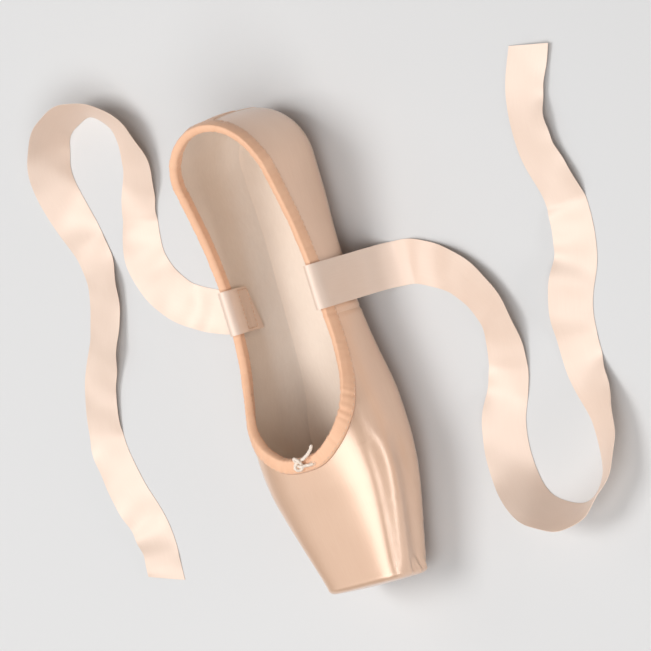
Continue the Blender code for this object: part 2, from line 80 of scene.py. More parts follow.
Section = namedtuple("Section", "x width widest crown square_below square_above")
SECTIONS = (
    Section(-90.0, 0.770, 22.0, 1.52, 3.2, 2.2),
    Section(-60.0, 0.760, 21.0, 1.33, 3.2, 2.2),
    Section(-30.0, 0.772, 20.0, 1.17, 3.3, 2.2),
    Section(-5.0, 0.818, 20.0, 1.11, 3.3, 2.3),
    Section(17.0, 0.900, 21.0, 1.07, 3.3, 2.4),
    Section(33.0, 0.968, 22.5, 1.04, 3.2, 2.6),
    Section(THROAT, 1.000, 24.0, 1.00, 3.1, 2.7),
    Section(64.0, 0.968, 24.2, 0.952, 3.1, 2.9),
    Section(76.0, 0.900, 24.2, 0.901, 3.2, 3.1),
    Section(90.0, 0.798, 24.0, 0.845, 3.4, 3.4),
    Section(103.0, 0.700, 24.0, 0.795, 3.6, 3.7),
    Section(BOX_END, 0.606, 24.0, 0.750, 3.8, 4.0),
)

Collar = namedtuple("Collar", "x height")
COLLAR = (
    Collar(HEEL_BACK, HEEL_HEIGHT),
    Collar(-100.0, 54.0),
    Collar(-80.0, 48.0),
    Collar(-55.0, 41.6),
    Collar(-30.0, 38.8),
    Collar(-5.0, 39.3),
    Collar(15.0, 42.8),
    Collar(29.0, 48.0),
    Collar(38.0, 51.5),
    Collar(45.5, 53.5),
    Collar(THROAT, INSTEP),
)

Rise = namedtuple("Rise", "x height")
SOLE_LINE = (
    Rise(HEEL_BACK, 0.9),
    Rise(-104.0, 0.0),
    Rise(-72.0, 0.0),
    Rise(-46.0, 3.0),
    Rise(-20.0, 5.0),
    Rise(6.0, 3.0),
    Rise(30.0, 0.0),
    Rise(66.0, 0.0),
    Rise(84.0, 1.4),
    Rise(99.0, 3.2),
    Rise(LENGTH / 2, 4.8),
)

HalfWidth = namedtuple("HalfWidth", "x half")
SOLE_WIDTH = (
    HalfWidth(HEEL_CENTRE, 16.8),
    HalfWidth(-70.0, 16.2),
    HalfWidth(-46.0, 14.5),
    HalfWidth(-22.0, 14.1),
    HalfWidth(0.0, 15.7),
    HalfWidth(18.0, 18.6),
    HalfWidth(36.0, 22.8),
    HalfWidth(54.0, 24.4),
)
SOLE_HEEL_END = -107.0
SOLE_TOE_END = 97.0
SOLE_TOE_START = 54.0
HEEL_SQUARENESS = 2.7
SOLE_LAP = 4.0
SOLE_EDGE_LIFT = 0.9
SOLE_FLAT_SHARE = 0.78
INSOLE_MARGIN = 2.0
INSOLE_EDGE_TAPER = 0.35

BINDING_DEPTH = 6.4
BINDING_INSIDE_DEPTH = 5.6
BINDING_TAPE = 0.9
BINDING_SWELL = 0.15

# Ribbons: the points of their routes, as in the part's source
RIBBON_WIDTH = 22.0
RIBBON_THICKNESS = 0.5
RIBBON_SLANT = 5.0
Way = namedtuple("Way", "x y z roll")
RIBBON_START = (
    Way(-27.0, 27.2, 18.0, 0.0),
    Way(-27.0, 26.9, 25.0, 0.0),
    Way(-27.0, 24.9, 31.5, 0.0),
    Way(-27.0, 23.7, 36.0, 0.0),
    Way(-27.0, 23.7, 39.2, 0.0),
    Way(-27.0, 25.0, 41.2, 0.0),
    Way(-27.0, 27.3, 41.7, 0.0),
    Way(-27.0, 29.6, 40.3, 0.0),
    Way(-27.0, 30.8, 37.2, 0.0),
    Way(-27.0, 31.4, 31.0, 0.0),
    Way(-27.0, 33.2, 19.0, 0.0),
    Way(-27.0, 38.0, 8.0, 0.0),
    Way(-26.5, 47.5, 1.2, 0.0),
)
RIBBON_LEFT = (
    Way(-24.0, 62.0, 0.0, 6.0),
    Way(-12.0, 82.0, 0.0, 16.0),
    Way(10.0, 95.0, 0.0, 20.0),
    Way(36.0, 93.0, 0.0, 6.0),
    Way(60.0, 83.0, 0.0, -8.0),
    Way(84.0, 81.0, 0.0, -24.0),
    Way(105.0, 92.0, 0.0, -52.0),
    Way(111.0, 113.0, 0.0, -66.0),
    Way(98.0, 131.0, 0.0, -56.0),
    Way(72.0, 138.0, 0.0, -26.0),
    Way(44.0, 134.0, 0.0, 0.0),
    Way(17.0, 137.0, 0.0, 14.0),
    Way(-8.0, 148.0, 0.0, 10.0),
    Way(-34.0, 150.0, 0.0, 0.0),
    Way(-59.0, 144.0, 0.0, -8.0),
    Way(-83.0, 146.0, 0.0, -4.0),
    Way(-105.0, 156.0, 0.0, 0.0),
)
RIBBON_RIGHT = (
    Way(-30.0, 62.0, 0.0, -6.0),
    Way(-41.0, 82.0, 0.0, -14.0),
    Way(-63.0, 95.0, 0.0, -18.0),
    Way(-89.0, 93.0, 0.0, 0.0),
    Way(-112.0, 84.0, 0.0, 14.0),
    Way(-136.0, 87.0, 0.0, 44.0),
    Way(-148.0, 106.0, 0.0, 64.0),
    Way(-139.0, 127.0, 0.0, 58.0),
    Way(-115.0, 136.0, 0.0, 30.0),
    Way(-88.0, 131.0, 0.0, 6.0),
    Way(-61.0, 128.0, 0.0, -10.0),
    Way(-34.0, 137.0, 0.0, -14.0),
    Way(-10.0, 150.0, 0.0, -8.0),
    Way(16.0, 156.0, 0.0, 0.0),
    Way(42.0, 152.0, 0.0, 8.0),
    Way(68.0, 144.0, 0.0, 6.0),
    Way(92.0, 145.0, 0.0, 0.0),
)

# Drawstring: its ends' rows are places from the knot's first or last point, as in the part's source
CORD_DIAMETER = 1.5
KNOT_SCALE = 1.12
KNOT_LIFT = 0.95
KNOT_OPENS = 0.62
KNOT_AHEAD = 0.8
End = namedtuple("End", "aside ahead up")
CASING_END = (
    End(3.2, 0.5, 0.0),
    End(1.6, 0.2, 0.5),
)
FREE_END = (
    End(2.0, -0.4, 1.3),
    End(4.6, -1.7, 0.3),
    End(7.4, -3.6, 0.2),
    End(9.6, -6.0, 0.9),
)

# Small moves along the last and round it, over which its slopes are taken
STEP = 0.4
TURN = 0.01

# Shape of the last, as in the part's source, for arrays of places


def smooth(table, column, x):
    """The table's column at each x, on a curve through its rows that never swings past them."""
    xs = np.array([row.x for row in table])
    ys = np.array([getattr(row, column) for row in table])
    steps = np.diff(xs)
    slopes = np.diff(ys) / steps
    before, after = slopes[:-1], slopes[1:]
    same_way = before * after > 0
    bends = np.concatenate([slopes[:1], np.zeros(len(xs) - 2), slopes[-1:]])
    bends[1:-1][same_way] = 2 * before[same_way] * after[same_way] / (before + after)[same_way]
    x = np.clip(x, xs[0], xs[-1])
    i = np.clip(np.searchsorted(xs, x) - 1, 0, len(xs) - 2)
    t = (x - xs[i]) / steps[i]
    rise = bends[i] * (1 - t) ** 2 * t * steps[i] - bends[i + 1] * t**2 * (1 - t) * steps[i]
    return ys[i] * (1 - t) ** 2 * (1 + 2 * t) + ys[i + 1] * t**2 * (3 - 2 * t) + rise


def underside_height(x):
    """Height of the upper's underside on the centre line."""
    return smooth(SOLE_LINE, "height", x) + OUTSOLE_THICKNESS + GAP


def wall_at(x):
    """The wall is soft cloth in the quarters, and paste-stiffened layers in the box."""
    share = np.clip((x - BOX_WALL_START) / (BOX_WALL_FULL - BOX_WALL_START), 0.0, 1.0)
    return QUARTER_WALL + (BOX_WALL - QUARTER_WALL) * share


def place_of(u):
    """The rib at u, a distance from the back seam along the wall: its x, its turn, its run past the box."""
    fan = np.clip(np.asarray(u) / HEEL_ARC, -1.0, 1.0) * math.pi / 2
    x = HEEL_CENTRE + np.maximum(np.asarray(u) - HEEL_ARC, 0.0)
    return np.minimum(x, BOX_END), fan, np.maximum(x - BOX_END, 0.0)


def last_points(u, theta, inset=0.0):
    """The last's surface on rib u, at theta from the bottom centre (0) by the side to the crown (pi)."""
    x, fan, past = place_of(u)
    edge_turn = np.minimum(past / EDGE_ARC, 1.0) * math.pi / 2
    edge = np.maximum(PLATFORM_EDGE - inset, PLATFORM_EDGE_INSIDE)
    shrink = edge * (1 - np.cos(edge_turn)) + inset
    scale = 1 - np.clip((past - EDGE_ARC) / FACE_RUN, 0.0, 1.0)

    middle = smooth(SECTIONS, "widest", x)
    half_width = BALL_WIDTH / 2 * smooth(SECTIONS, "width", x) - shrink
    below = middle - underside_height(x) - shrink
    above = smooth(SECTIONS, "crown", x) * INSTEP - middle - shrink
    low = np.cos(theta) > 0
    square = np.where(low, smooth(SECTIONS, "square_below", x), smooth(SECTIONS, "square_above", x))
    across, up = np.abs(np.sin(theta)), np.abs(np.cos(theta))
    reach = (across**square + up**square) ** (1 / square)
    across = np.sin(theta) / reach * scale
    up = -np.cos(theta) / reach * scale

    z = middle + up * np.where(low, below, above)
    ramp = np.clip((x - TILT_START) / (BOX_END - TILT_START), 0.0, 1.0)
    front = x + edge * np.sin(edge_turn) + PLATFORM_DOME * (1 - scale**2)
    front = front - TOE_TILT * ramp**2 * (z - middle)
    back = (HEEL_RADIUS - inset) * np.cos(fan)
    return np.stack([front - across * back, across * half_width * np.sin(fan), z], axis=-1)


def half_turn_at(share_across, square):
    """Angle from the section's nearest pole at which it reaches this share of its half width."""
    up = np.maximum(1 - share_across**square, 0.0) ** (1 / square)
    return np.arctan2(share_across, up)


def sole_half_width(x, inset=0.0):
    """Half width of the outsole's outline, brought in by inset all round."""
    x = np.asarray(x, float)
    toe_run = np.clip((x - SOLE_TOE_START) / (SOLE_TOE_END - SOLE_TOE_START - inset), 0.0, 1.0)
    heel_run = np.clip((HEEL_CENTRE - x) / (HEEL_CENTRE - SOLE_HEEL_END - inset), 0.0, 1.0)
    half = smooth(SOLE_WIDTH, "half", x) - inset
    half = half * (1 - heel_run**HEEL_SQUARENESS) ** (1 / HEEL_SQUARENESS)
    return half * np.sqrt(1 - toe_run**2)


def opening_share(u):
    """The opening under the foot as a share of the rib's half width, or 0 where the upper is closed."""
    x, fan, past = place_of(u)
    half_width = BALL_WIDTH / 2 * smooth(SECTIONS, "width", x)
    along = np.abs(HEEL_RADIUS * np.cos(fan) / (HEEL_CENTRE - SOLE_HEEL_END - SOLE_LAP))
    aside = np.abs(half_width * np.sin(fan) / (SOLE_WIDTH[0].half - SOLE_LAP))
    in_fan = (along**HEEL_SQUARENESS + aside**HEEL_SQUARENESS) ** (-1 / HEEL_SQUARENESS)
    share = np.where(fan < math.pi / 2, in_fan, sole_half_width(x, SOLE_LAP) / half_width)
    closed = (past > 0) | (x >= SOLE_TOE_END - SOLE_LAP)
    return np.where(closed, 0.0, share)


def opening_turn(u, beside=0.0):
    """Theta of the upper's edge under the foot, or of a line outside it that runs on to the platform."""
    x = place_of(u)[0]
    half_width = BALL_WIDTH / 2 * smooth(SECTIONS, "width", x)
    share = np.hypot(opening_share(u), beside / half_width)
    return half_turn_at(share, smooth(SECTIONS, "square_below", x))


def collar_turn(u):
    """Theta of the collar's edge, or pi where the vamp is closed."""
    x, fan, past = place_of(u)
    middle = smooth(SECTIONS, "widest", x)
    crown = smooth(SECTIONS, "crown", x) * INSTEP
    height = smooth(COLLAR, "height", x - HEEL_RADIUS * np.cos(fan))
    up = np.minimum((height - middle) / (crown - middle), 1.0)
    square = smooth(SECTIONS, "square_above", x)
    across = np.maximum(1 - up**square, 0.0) ** (1 / square)
    closed = (past > 0) | (x >= THROAT)
    return np.where(closed, math.pi, math.pi - np.arctan2(across, up))


def underside_at(x, y, inset=0.0):
    """Height of the last's lower surface over a point of the floor."""
    x_section = np.maximum(x, HEEL_CENTRE)
    half_width = BALL_WIDTH / 2 * smooth(SECTIONS, "width", x_section) - inset
    behind = np.maximum(HEEL_CENTRE - x, 0.0) / (HEEL_RADIUS - inset)
    share = np.minimum(np.hypot(behind, y / half_width), 1.0)
    middle = smooth(SECTIONS, "widest", x_section)
    square = smooth(SECTIONS, "square_below", x_section)
    below = middle - underside_height(x_section) - inset
    return middle - below * (1 - share**square) ** (1 / square)


def runs_of(points, weight=1.0):
    """How far along a line each of its points is, with its steps weighted."""
    steps = np.linalg.norm(np.diff(points, axis=0), axis=1)
    return np.concatenate([[0], np.cumsum(steps * weight)])


def bump_at(distance, width):
    """A soft round bump: 1 where distance is nought, and gone at about two widths."""
    return np.exp(-((distance / width) ** 2))


def ramp_at(value, start, end):
    """0 before start, 1 past end, and an eased way between."""
    share = np.clip((value - start) / (end - start), 0.0, 1.0)
    return share * share * (3 - 2 * share)


def between(value, grow, fade):
    """1 between two stretches: eased in over the first of them, and out over the second."""
    return ramp_at(value, *grow) * (1 - ramp_at(value, *fade))


def ripple(run, length, seed, waves=5):
    """An uneven ripple about 1 high along run, its waves about length long, the same for the same seed."""
    draw = np.random.default_rng(seed)
    total = np.zeros_like(run)
    for _ in range(waves):
        wave = length * draw.uniform(0.6, 1.7)
        total += np.sin(run / wave * 2 * math.pi + draw.uniform(0, 2 * math.pi))
    return total / math.sqrt(waves)


# Meshes

WELD = 0.02
WELD_STITCH = 0.0001


def grid_faces(first, columns, rows):
    """Quads over a grid of points that is stored column after column."""
    corner = first + np.add.outer(np.arange(columns - 1) * rows, np.arange(rows - 1)).ravel()
    return np.stack([corner, corner + 1, corner + rows + 1, corner + rows], axis=1)


def ring_faces(first, rings, size):
    """Quads along rings of points that are stored ring after ring."""
    i, j = np.meshgrid(np.arange(rings - 1), np.arange(size), indexing="ij")
    a = first + (i * size + j).ravel()
    b = first + (i * size + (j + 1) % size).ravel()
    return np.stack([a, b, b + size, a + size], axis=1)


def tube_faces(rings, size):
    """Quads along a tube's rings, and a face over each of its ends."""
    last = (rings - 1) * size
    ends = [tuple(range(size)), tuple(range(last, last + size))]
    return list(ring_faces(0, rings, size)) + ends


def make_piece(name, points, faces, finishes, cloth=None, slots=None, relief=None, weld=WELD, sharp=None):
    """A smooth-shaded mesh from points in millimetres, welded where they meet.

    Cloth is each point's place in its cloth, for the weave. Slots is each face's place in the list of
    finishes. Relief is how far each point then moves out, and sharp the angle above which an edge is hard.
    """
    mesh = bpy.data.meshes.new(name)
    mesh.from_pydata(np.asarray(points) * MM, [], [tuple(face) for face in faces])
    if cloth is not None:
        places = mesh.attributes.new("cloth", "FLOAT_VECTOR", "POINT")
        places.data.foreach_set("vector", np.asarray(cloth, np.float32).ravel())
    if slots is not None:
        mesh.polygons.foreach_set("material_index", np.asarray(slots, np.int32))
    if relief is not None:
        heights = mesh.attributes.new("relief", "FLOAT", "POINT")
        heights.data.foreach_set("value", np.asarray(relief, np.float32))
    work = bmesh.new()
    work.from_mesh(mesh)
    bmesh.ops.remove_doubles(work, verts=work.verts, dist=weld * MM)
    bmesh.ops.dissolve_degenerate(work, edges=work.edges, dist=weld * MM / 10)
    bmesh.ops.recalc_face_normals(work, faces=work.faces)
    work.to_mesh(mesh)
    work.free()
    mesh.shade_smooth()
    if sharp is not None:
        mesh.set_sharp_from_angle(angle=math.radians(sharp))
    for finish in finishes:
        mesh.materials.append(finish)
    piece = bpy.data.objects.new(name, mesh)
    bpy.context.collection.objects.link(piece)
    return piece


def read_points(piece):
    """A mesh's points in millimetres, and their normals."""
    mesh = piece.data
    points = np.zeros(len(mesh.vertices) * 3)
    normals = np.zeros(len(mesh.vertices) * 3)
    mesh.vertices.foreach_get("co", points)
    mesh.vertices.foreach_get("normal", normals)
    return points.reshape(-1, 3) / MM, normals.reshape(-1, 3)


def lift_by_relief(piece):
    """Moves a mesh's points along their normals by its relief, in millimetres."""
    mesh = piece.data
    height = np.zeros(len(mesh.vertices))
    mesh.attributes["relief"].data.foreach_get("value", height)
    points, normals = read_points(piece)
    mesh.vertices.foreach_set("co", ((points + normals * height[:, None]) * MM).ravel())
    mesh.attributes.remove(mesh.attributes["relief"])
    mesh.update()


def add_uv(piece):
    """A UV map named threads, from the cloth's places."""
    mesh = piece.data
    places = np.zeros(len(mesh.vertices) * 3)
    mesh.attributes["cloth"].data.foreach_get("vector", places)
    corners = np.zeros(len(mesh.loops), np.int32)
    mesh.loops.foreach_get("vertex_index", corners)
    layer = mesh.uv_layers.new(name="threads")
    layer.data.foreach_set("uv", places.reshape(-1, 3)[corners][:, :2].ravel() / LENGTH)


def keep(piece, slot, *nodes):
    """The piece rides with the shoe and stands for the nodes named. The slot is not used."""
    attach(piece, BODY)
    if nodes:
        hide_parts(*nodes)


Stitch = namedtuple("Stitch", "length width height")
STITCH_SIDES = 6
STITCH_RINGS = 5
STITCH_BLUNTNESS = 0.6


def make_stitches(name, middles, ways, outs, stitch, slot):
    """One mesh of small rounded stitches, each lying along its way and standing up along its out."""
    turns = np.linspace(0, math.pi, STITCH_RINGS + 2)[1:-1]
    around = np.linspace(0, 2 * math.pi, STITCH_SIDES, endpoint=False)
    template = [(-1.0, 0.0, 0.0), (1.0, 0.0, 0.0)]
    for turn in turns:
        bulge = math.sin(turn) ** STITCH_BLUNTNESS
        template += [(-math.cos(turn), bulge * math.cos(a), bulge * math.sin(a)) for a in around]
    template = np.array(template) * (stitch.length / 2, stitch.width / 2, stitch.height)
    first = [(0, 2 + (k + 1) % STITCH_SIDES, 2 + k) for k in range(STITCH_SIDES)]
    base = 2 + (STITCH_RINGS - 1) * STITCH_SIDES
    last = [(1, base + k, base + (k + 1) % STITCH_SIDES) for k in range(STITCH_SIDES)]
    rings = [tuple(face) for face in ring_faces(2, STITCH_RINGS, STITCH_SIDES)]
    points, faces = [], []
    for i, (middle, way, out) in enumerate(zip(middles, ways, outs)):
        way = way / np.linalg.norm(way)
        out = out - way * (out @ way)
        out = out / np.linalg.norm(out)
        axes = np.array([way, np.cross(out, way), out])
        points.append(template @ axes + middle)
        faces += [tuple(corner + i * len(template) for corner in face) for face in first + rings + last]
    keep(make_piece(name, np.concatenate(points), faces, [thread], weld=WELD_STITCH), slot)


# Materials


class Finish:
    """A Principled material that is built up in layers. Sizes are in millimetres."""

    def __init__(self, name, **settings):
        self.made = bpy.data.materials.new(name)
        self.made.use_nodes = True
        self.tree = self.made.node_tree
        self.shader = self.tree.nodes["Principled BSDF"]
        for setting, value in settings.items():
            self.shader.inputs[setting.replace("_", " ")].default_value = value
        self.bump = None

    def add(self, kind, **settings):
        node = self.tree.nodes.new(kind)
        for setting, value in settings.items():
            if hasattr(node, setting):
                setattr(node, setting, value)
            else:
                node.inputs[setting.replace("_", " ")].default_value = value
        return node

    def link(self, source, target):
        self.tree.links.new(source, target)

    def places(self, attribute="cloth", stretch=(1.0, 1.0, 1.0)):
        """The cloth's places in millimetres, or an object's own points where it has no cloth."""
        scale = self.add("ShaderNodeVectorMath", operation="MULTIPLY")
        scale.inputs[1].default_value = stretch
        if attribute:
            source = self.add("ShaderNodeAttribute", attribute_name=attribute).outputs["Vector"]
        else:
            source = self.add("ShaderNodeTexCoord").outputs["Object"]
            scale.inputs[1].default_value = tuple(value / MM for value in stretch)
        self.link(source, scale.inputs[0])
        return scale.outputs[0]

    def noise(self, size, attribute="cloth", stretch=(1.0, 1.0, 1.0), detail=3.0, roughness=0.55):
        """Cloudy grain whose patches are about size millimetres."""
        node = self.add("ShaderNodeTexNoise", Scale=1.0 / size, Detail=detail, Roughness=roughness)
        self.link(self.places(attribute, stretch), node.inputs["Vector"])
        return node.outputs["Fac"]

    def threads(self, pitch, axis, waver):
        """Bands that repeat every pitch millimetres, across axis X or Y of the cloth."""
        scale = math.pi / 10 / pitch
        node = self.add("ShaderNodeTexWave", bands_direction=axis, Scale=scale, Distortion=waver)
        node.inputs["Detail Scale"].default_value = 1.0
        self.link(self.places(), node.inputs["Vector"])
        return node.outputs["Fac"]

    def level(self, source, low, high, start=0.0):
        """The source's start to 1 brought to low and high."""
        node = self.add("ShaderNodeMapRange")
        node.inputs["From Min"].default_value = start
        node.inputs["To Min"].default_value = low
        node.inputs["To Max"].default_value = high
        self.link(source, node.inputs["Value"])
        return node.outputs["Result"]

    def times(self, one, other):
        node = self.add("ShaderNodeMath", operation="MULTIPLY")
        self.link(one, node.inputs[0])
        self.link(other, node.inputs[1])
        return node.outputs[0]

    def tone(self, source, dark, light):
        """Colour the surface from dark to light as the source says."""
        node = self.add("ShaderNodeMix", data_type="RGBA")
        colours = [socket for socket in node.inputs if socket.type == "RGBA"]
        colours[0].default_value = (*dark, 1.0)
        colours[1].default_value = (*light, 1.0)
        self.link(source, node.inputs["Factor"])
        mixed = next(socket for socket in node.outputs if socket.type == "RGBA")
        self.link(mixed, self.shader.inputs["Base Color"])

    def rough(self, source, low, high):
        """Roughness from low to high as the source says."""
        self.link(self.level(source, low, high), self.shader.inputs["Roughness"])

    def relief(self, source, height, strength):
        """Bump of this height, on top of what is there."""
        node = self.add("ShaderNodeBump", Strength=strength, Distance=height * MM)
        self.link(source, node.inputs["Height"])
        if self.bump is not None:
            self.link(self.bump, node.inputs["Normal"])
        self.bump = node.outputs["Normal"]
        self.link(self.bump, self.shader.inputs["Normal"])


SATIN_GLOSS = {"Specular_IOR_Level": 0.9, "Coat_IOR": 1.85}
# Painted shade along the outsole's edge: past this share of the way to the edge the suede darkens, down to
# this share of its colour
SUEDE_RIM = 0.96
SUEDE_EDGE_PAINTED_SHADE = 0.35


def make_satin(name, dark, light, metal, coat, roughness):
    """Glossy satin: long warp floats, a few slubs, and a soft cloudiness."""
    made = Finish(name, Metallic=metal, Coat_Weight=coat, Coat_Roughness=roughness, **SATIN_GLOSS)
    clouds = made.noise(16.0, stretch=(0.5, 1.0, 1.0))
    slubs = made.noise(1.0, stretch=(0.08, 1.6, 1.0), detail=2.0)
    made.tone(made.times(clouds, slubs), dark, light)
    made.rough(slubs, roughness, roughness + 0.1)
    floats = made.noise(0.32, stretch=(0.06, 1.0, 1.0), detail=2.0)
    made.relief(floats, 0.03, 0.6)
    made.relief(made.threads(0.34, "Y", waver=1.2), 0.010, 0.5)
    made.relief(slubs, 0.04, 0.5)
    return made.made


def make_plain_weave(name, dark, light, pitch, height, roughness):
    """Matt cotton in a plain weave."""
    made = Finish(name, Specular_IOR_Level=0.3, Sheen_Weight=0.25)
    weave = made.times(made.threads(pitch, "X", waver=0.5), made.threads(pitch, "Y", waver=0.5))
    clouds = made.level(made.noise(28.0), 0.55, 1.0)
    flecks = made.level(made.noise(1.2, stretch=(0.3, 1.0, 1.0)), 0.7, 1.1)
    made.tone(made.times(made.times(clouds, flecks), made.level(weave, 0.8, 1.0)), dark, light)
    made.rough(clouds, roughness - 0.05, roughness + 0.05)
    made.relief(weave, height, 0.8)
    return made.made


def make_binding_tape(name):
    """Soft rayon tape, with fine ribs across it."""
    made = Finish(name, Specular_IOR_Level=0.4, Coat_Weight=0.08, Coat_Roughness=0.4, Sheen_Weight=0.2)
    clouds = made.noise(5.0, stretch=(1.0, 0.4, 1.0))
    made.tone(clouds, (0.82, 0.45, 0.27), (0.92, 0.56, 0.36))
    made.rough(clouds, 0.5, 0.62)
    made.relief(made.threads(0.5, "X", waver=0.5), 0.06, 0.7)
    made.relief(made.noise(0.7), 0.05, 0.4)
    return made.made


def make_suede(name):
    """Split leather: short nap, pores, and painted shade that darkens it towards its edge, for the shadow
    along the sole's thick edge.
    """
    made = Finish(name, Specular_IOR_Level=0.25, Sheen_Weight=0.35)
    nap = made.noise(0.8, detail=6.0, roughness=0.7)
    patches = made.noise(14.0)
    # Painted shade: the colour darkens over the last part of the way to the plate's edge
    to_edge = made.add("ShaderNodeSeparateXYZ")
    made.link(made.places(), to_edge.inputs[0])
    rim = made.level(to_edge.outputs["Z"], 1.0, SUEDE_EDGE_PAINTED_SHADE, start=SUEDE_RIM)
    grain = made.times(made.level(nap, 0.5, 1.0), made.level(patches, 0.7, 1.1))
    made.tone(made.times(grain, rim), (0.34, 0.22, 0.15), (0.76, 0.59, 0.45))
    made.rough(nap, 0.75, 0.95)
    made.relief(nap, 0.06, 0.5)
    return made.made


def make_thread(name, colour):
    """Twisted cotton, with painted shade that darkens it a little where its grain is low, between its fibres.
    """
    made = Finish(name, Specular_IOR_Level=0.4, Roughness=0.5)
    grain = made.noise(0.5, attribute=None, detail=2.0)
    # Painted shade: the grain that lowers the surface also darkens it, so the low parts come out darker
    made.tone(grain, tuple(value * 0.8 for value in colour), colour)
    made.relief(grain, 0.05, 0.6)
    return made.made


satin = make_satin("peach_satin", (0.80, 0.50, 0.33), (0.91, 0.635, 0.45), 0.3, 1.0, 0.30)
ribbon_satin = make_satin("ribbon_satin", (0.80, 0.61, 0.49), (0.87, 0.70, 0.58), 0.1, 0.15, 0.45)
lining = make_plain_weave("cotton_lining", (0.68, 0.55, 0.45), (0.90, 0.80, 0.70), 0.62, 0.05, 0.85)
sock = make_plain_weave("sock_cotton", (0.70, 0.56, 0.45), (0.92, 0.80, 0.69), 0.5, 0.04, 0.8)
tape = make_binding_tape("binding_tape")
suede = make_suede("sole_suede")
string_cotton = make_thread("string_cotton", (0.93, 0.80, 0.68))
thread = make_thread("peach_thread", (0.90, 0.62, 0.45))
# A near-black finish: painted shade for the shadowed inside of the drawstring's buttonhole
hole_shade = Finish(
    "buttonhole_shade", Base_Color=(0.10, 0.05, 0.03, 1.0), Roughness=0.9, Specular_IOR_Level=0.1
).made

# Camera: at the photo's angle to the shoe, from its near side and above, with the toe down and to the right

CAMERA_ELEVATION = math.radians(54.0)
CAMERA_ROLL = math.radians(17.0)
CAMERA_SPAN = 318.0
CAMERA_LENS = 200.0
CAMERA_RIGHT = -4.5
CAMERA_DOWN = -7.0

view_back = Vector((0.0, math.cos(CAMERA_ELEVATION), math.sin(CAMERA_ELEVATION)))
across_shoe = Vector((0.0, math.sin(CAMERA_ELEVATION), -math.cos(CAMERA_ELEVATION)))
along_shoe = Vector((1.0, 0.0, 0.0))
picture_right = across_shoe * math.cos(CAMERA_ROLL) + along_shoe * math.sin(CAMERA_ROLL)
picture_down = along_shoe * math.cos(CAMERA_ROLL) - across_shoe * math.sin(CAMERA_ROLL)

camera = bpy.data.objects.new("camera", bpy.data.cameras.new("camera"))
camera.data.lens = CAMERA_LENS
camera_distance = CAMERA_SPAN * CAMERA_LENS / camera.data.sensor_width
aim = picture_right * CAMERA_RIGHT + picture_down * CAMERA_DOWN
turned = Matrix((picture_right, -picture_down, view_back)).transposed().to_4x4()
camera.matrix_world = Matrix.Translation((aim + view_back * camera_distance) * MM) @ turned
bpy.context.collection.objects.link(camera)
bpy.context.scene.camera = camera


# Ribbons

RIBBON_STEP = 1.5
RIBBON_LANES = 14
RIBBON_SHEET = 0.35
RIBBON_EDGE_SHARE = 0.97
RIBBON_EDGE_THINNING = 0.75
RIBBON_WAVE = 26.0
RIBBON_WAVE_HEIGHT = 0.5
LOOSE_START = 60.0
LOOSE_FULL = 90.0
SLANT_RUN = 6.0
BACK_FACE_SHIFT = 60.0
ROUTE_SAMPLES = 24
SEWN_LOW = 2.6
SEWN_HIGH = 13.0
SEWN_MARGIN = 1.3
SEWN_PITCH = 2.1
RIBBON_STITCH = Stitch(1.5, 0.45, 0.22)


def rounded_route(ways):
    """Rows along a smooth curve through the route's points, a step apart."""
    knots = np.array(ways)
    knots = np.vstack([2 * knots[0] - knots[1], knots, 2 * knots[-1] - knots[-2]])
    curve = []
    for i in range(1, len(knots) - 2):
        before, here, there, after = knots[i - 1 : i + 3]
        for t in np.linspace(0, 1, ROUTE_SAMPLES, endpoint=False):
            bend = (2 * before - 5 * here + 4 * there - after) * t**2
            twist = (3 * here - before - 3 * there + after) * t**3
            curve.append(here + 0.5 * ((there - before) * t + bend + twist))
    curve = np.array(curve + [knots[-2]])
    run = runs_of(curve[:, :3])
    places = np.linspace(0, run[-1], round(run[-1] / RIBBON_STEP) + 1)
    return np.array([np.interp(places, run, column) for column in curve.T]).T, places


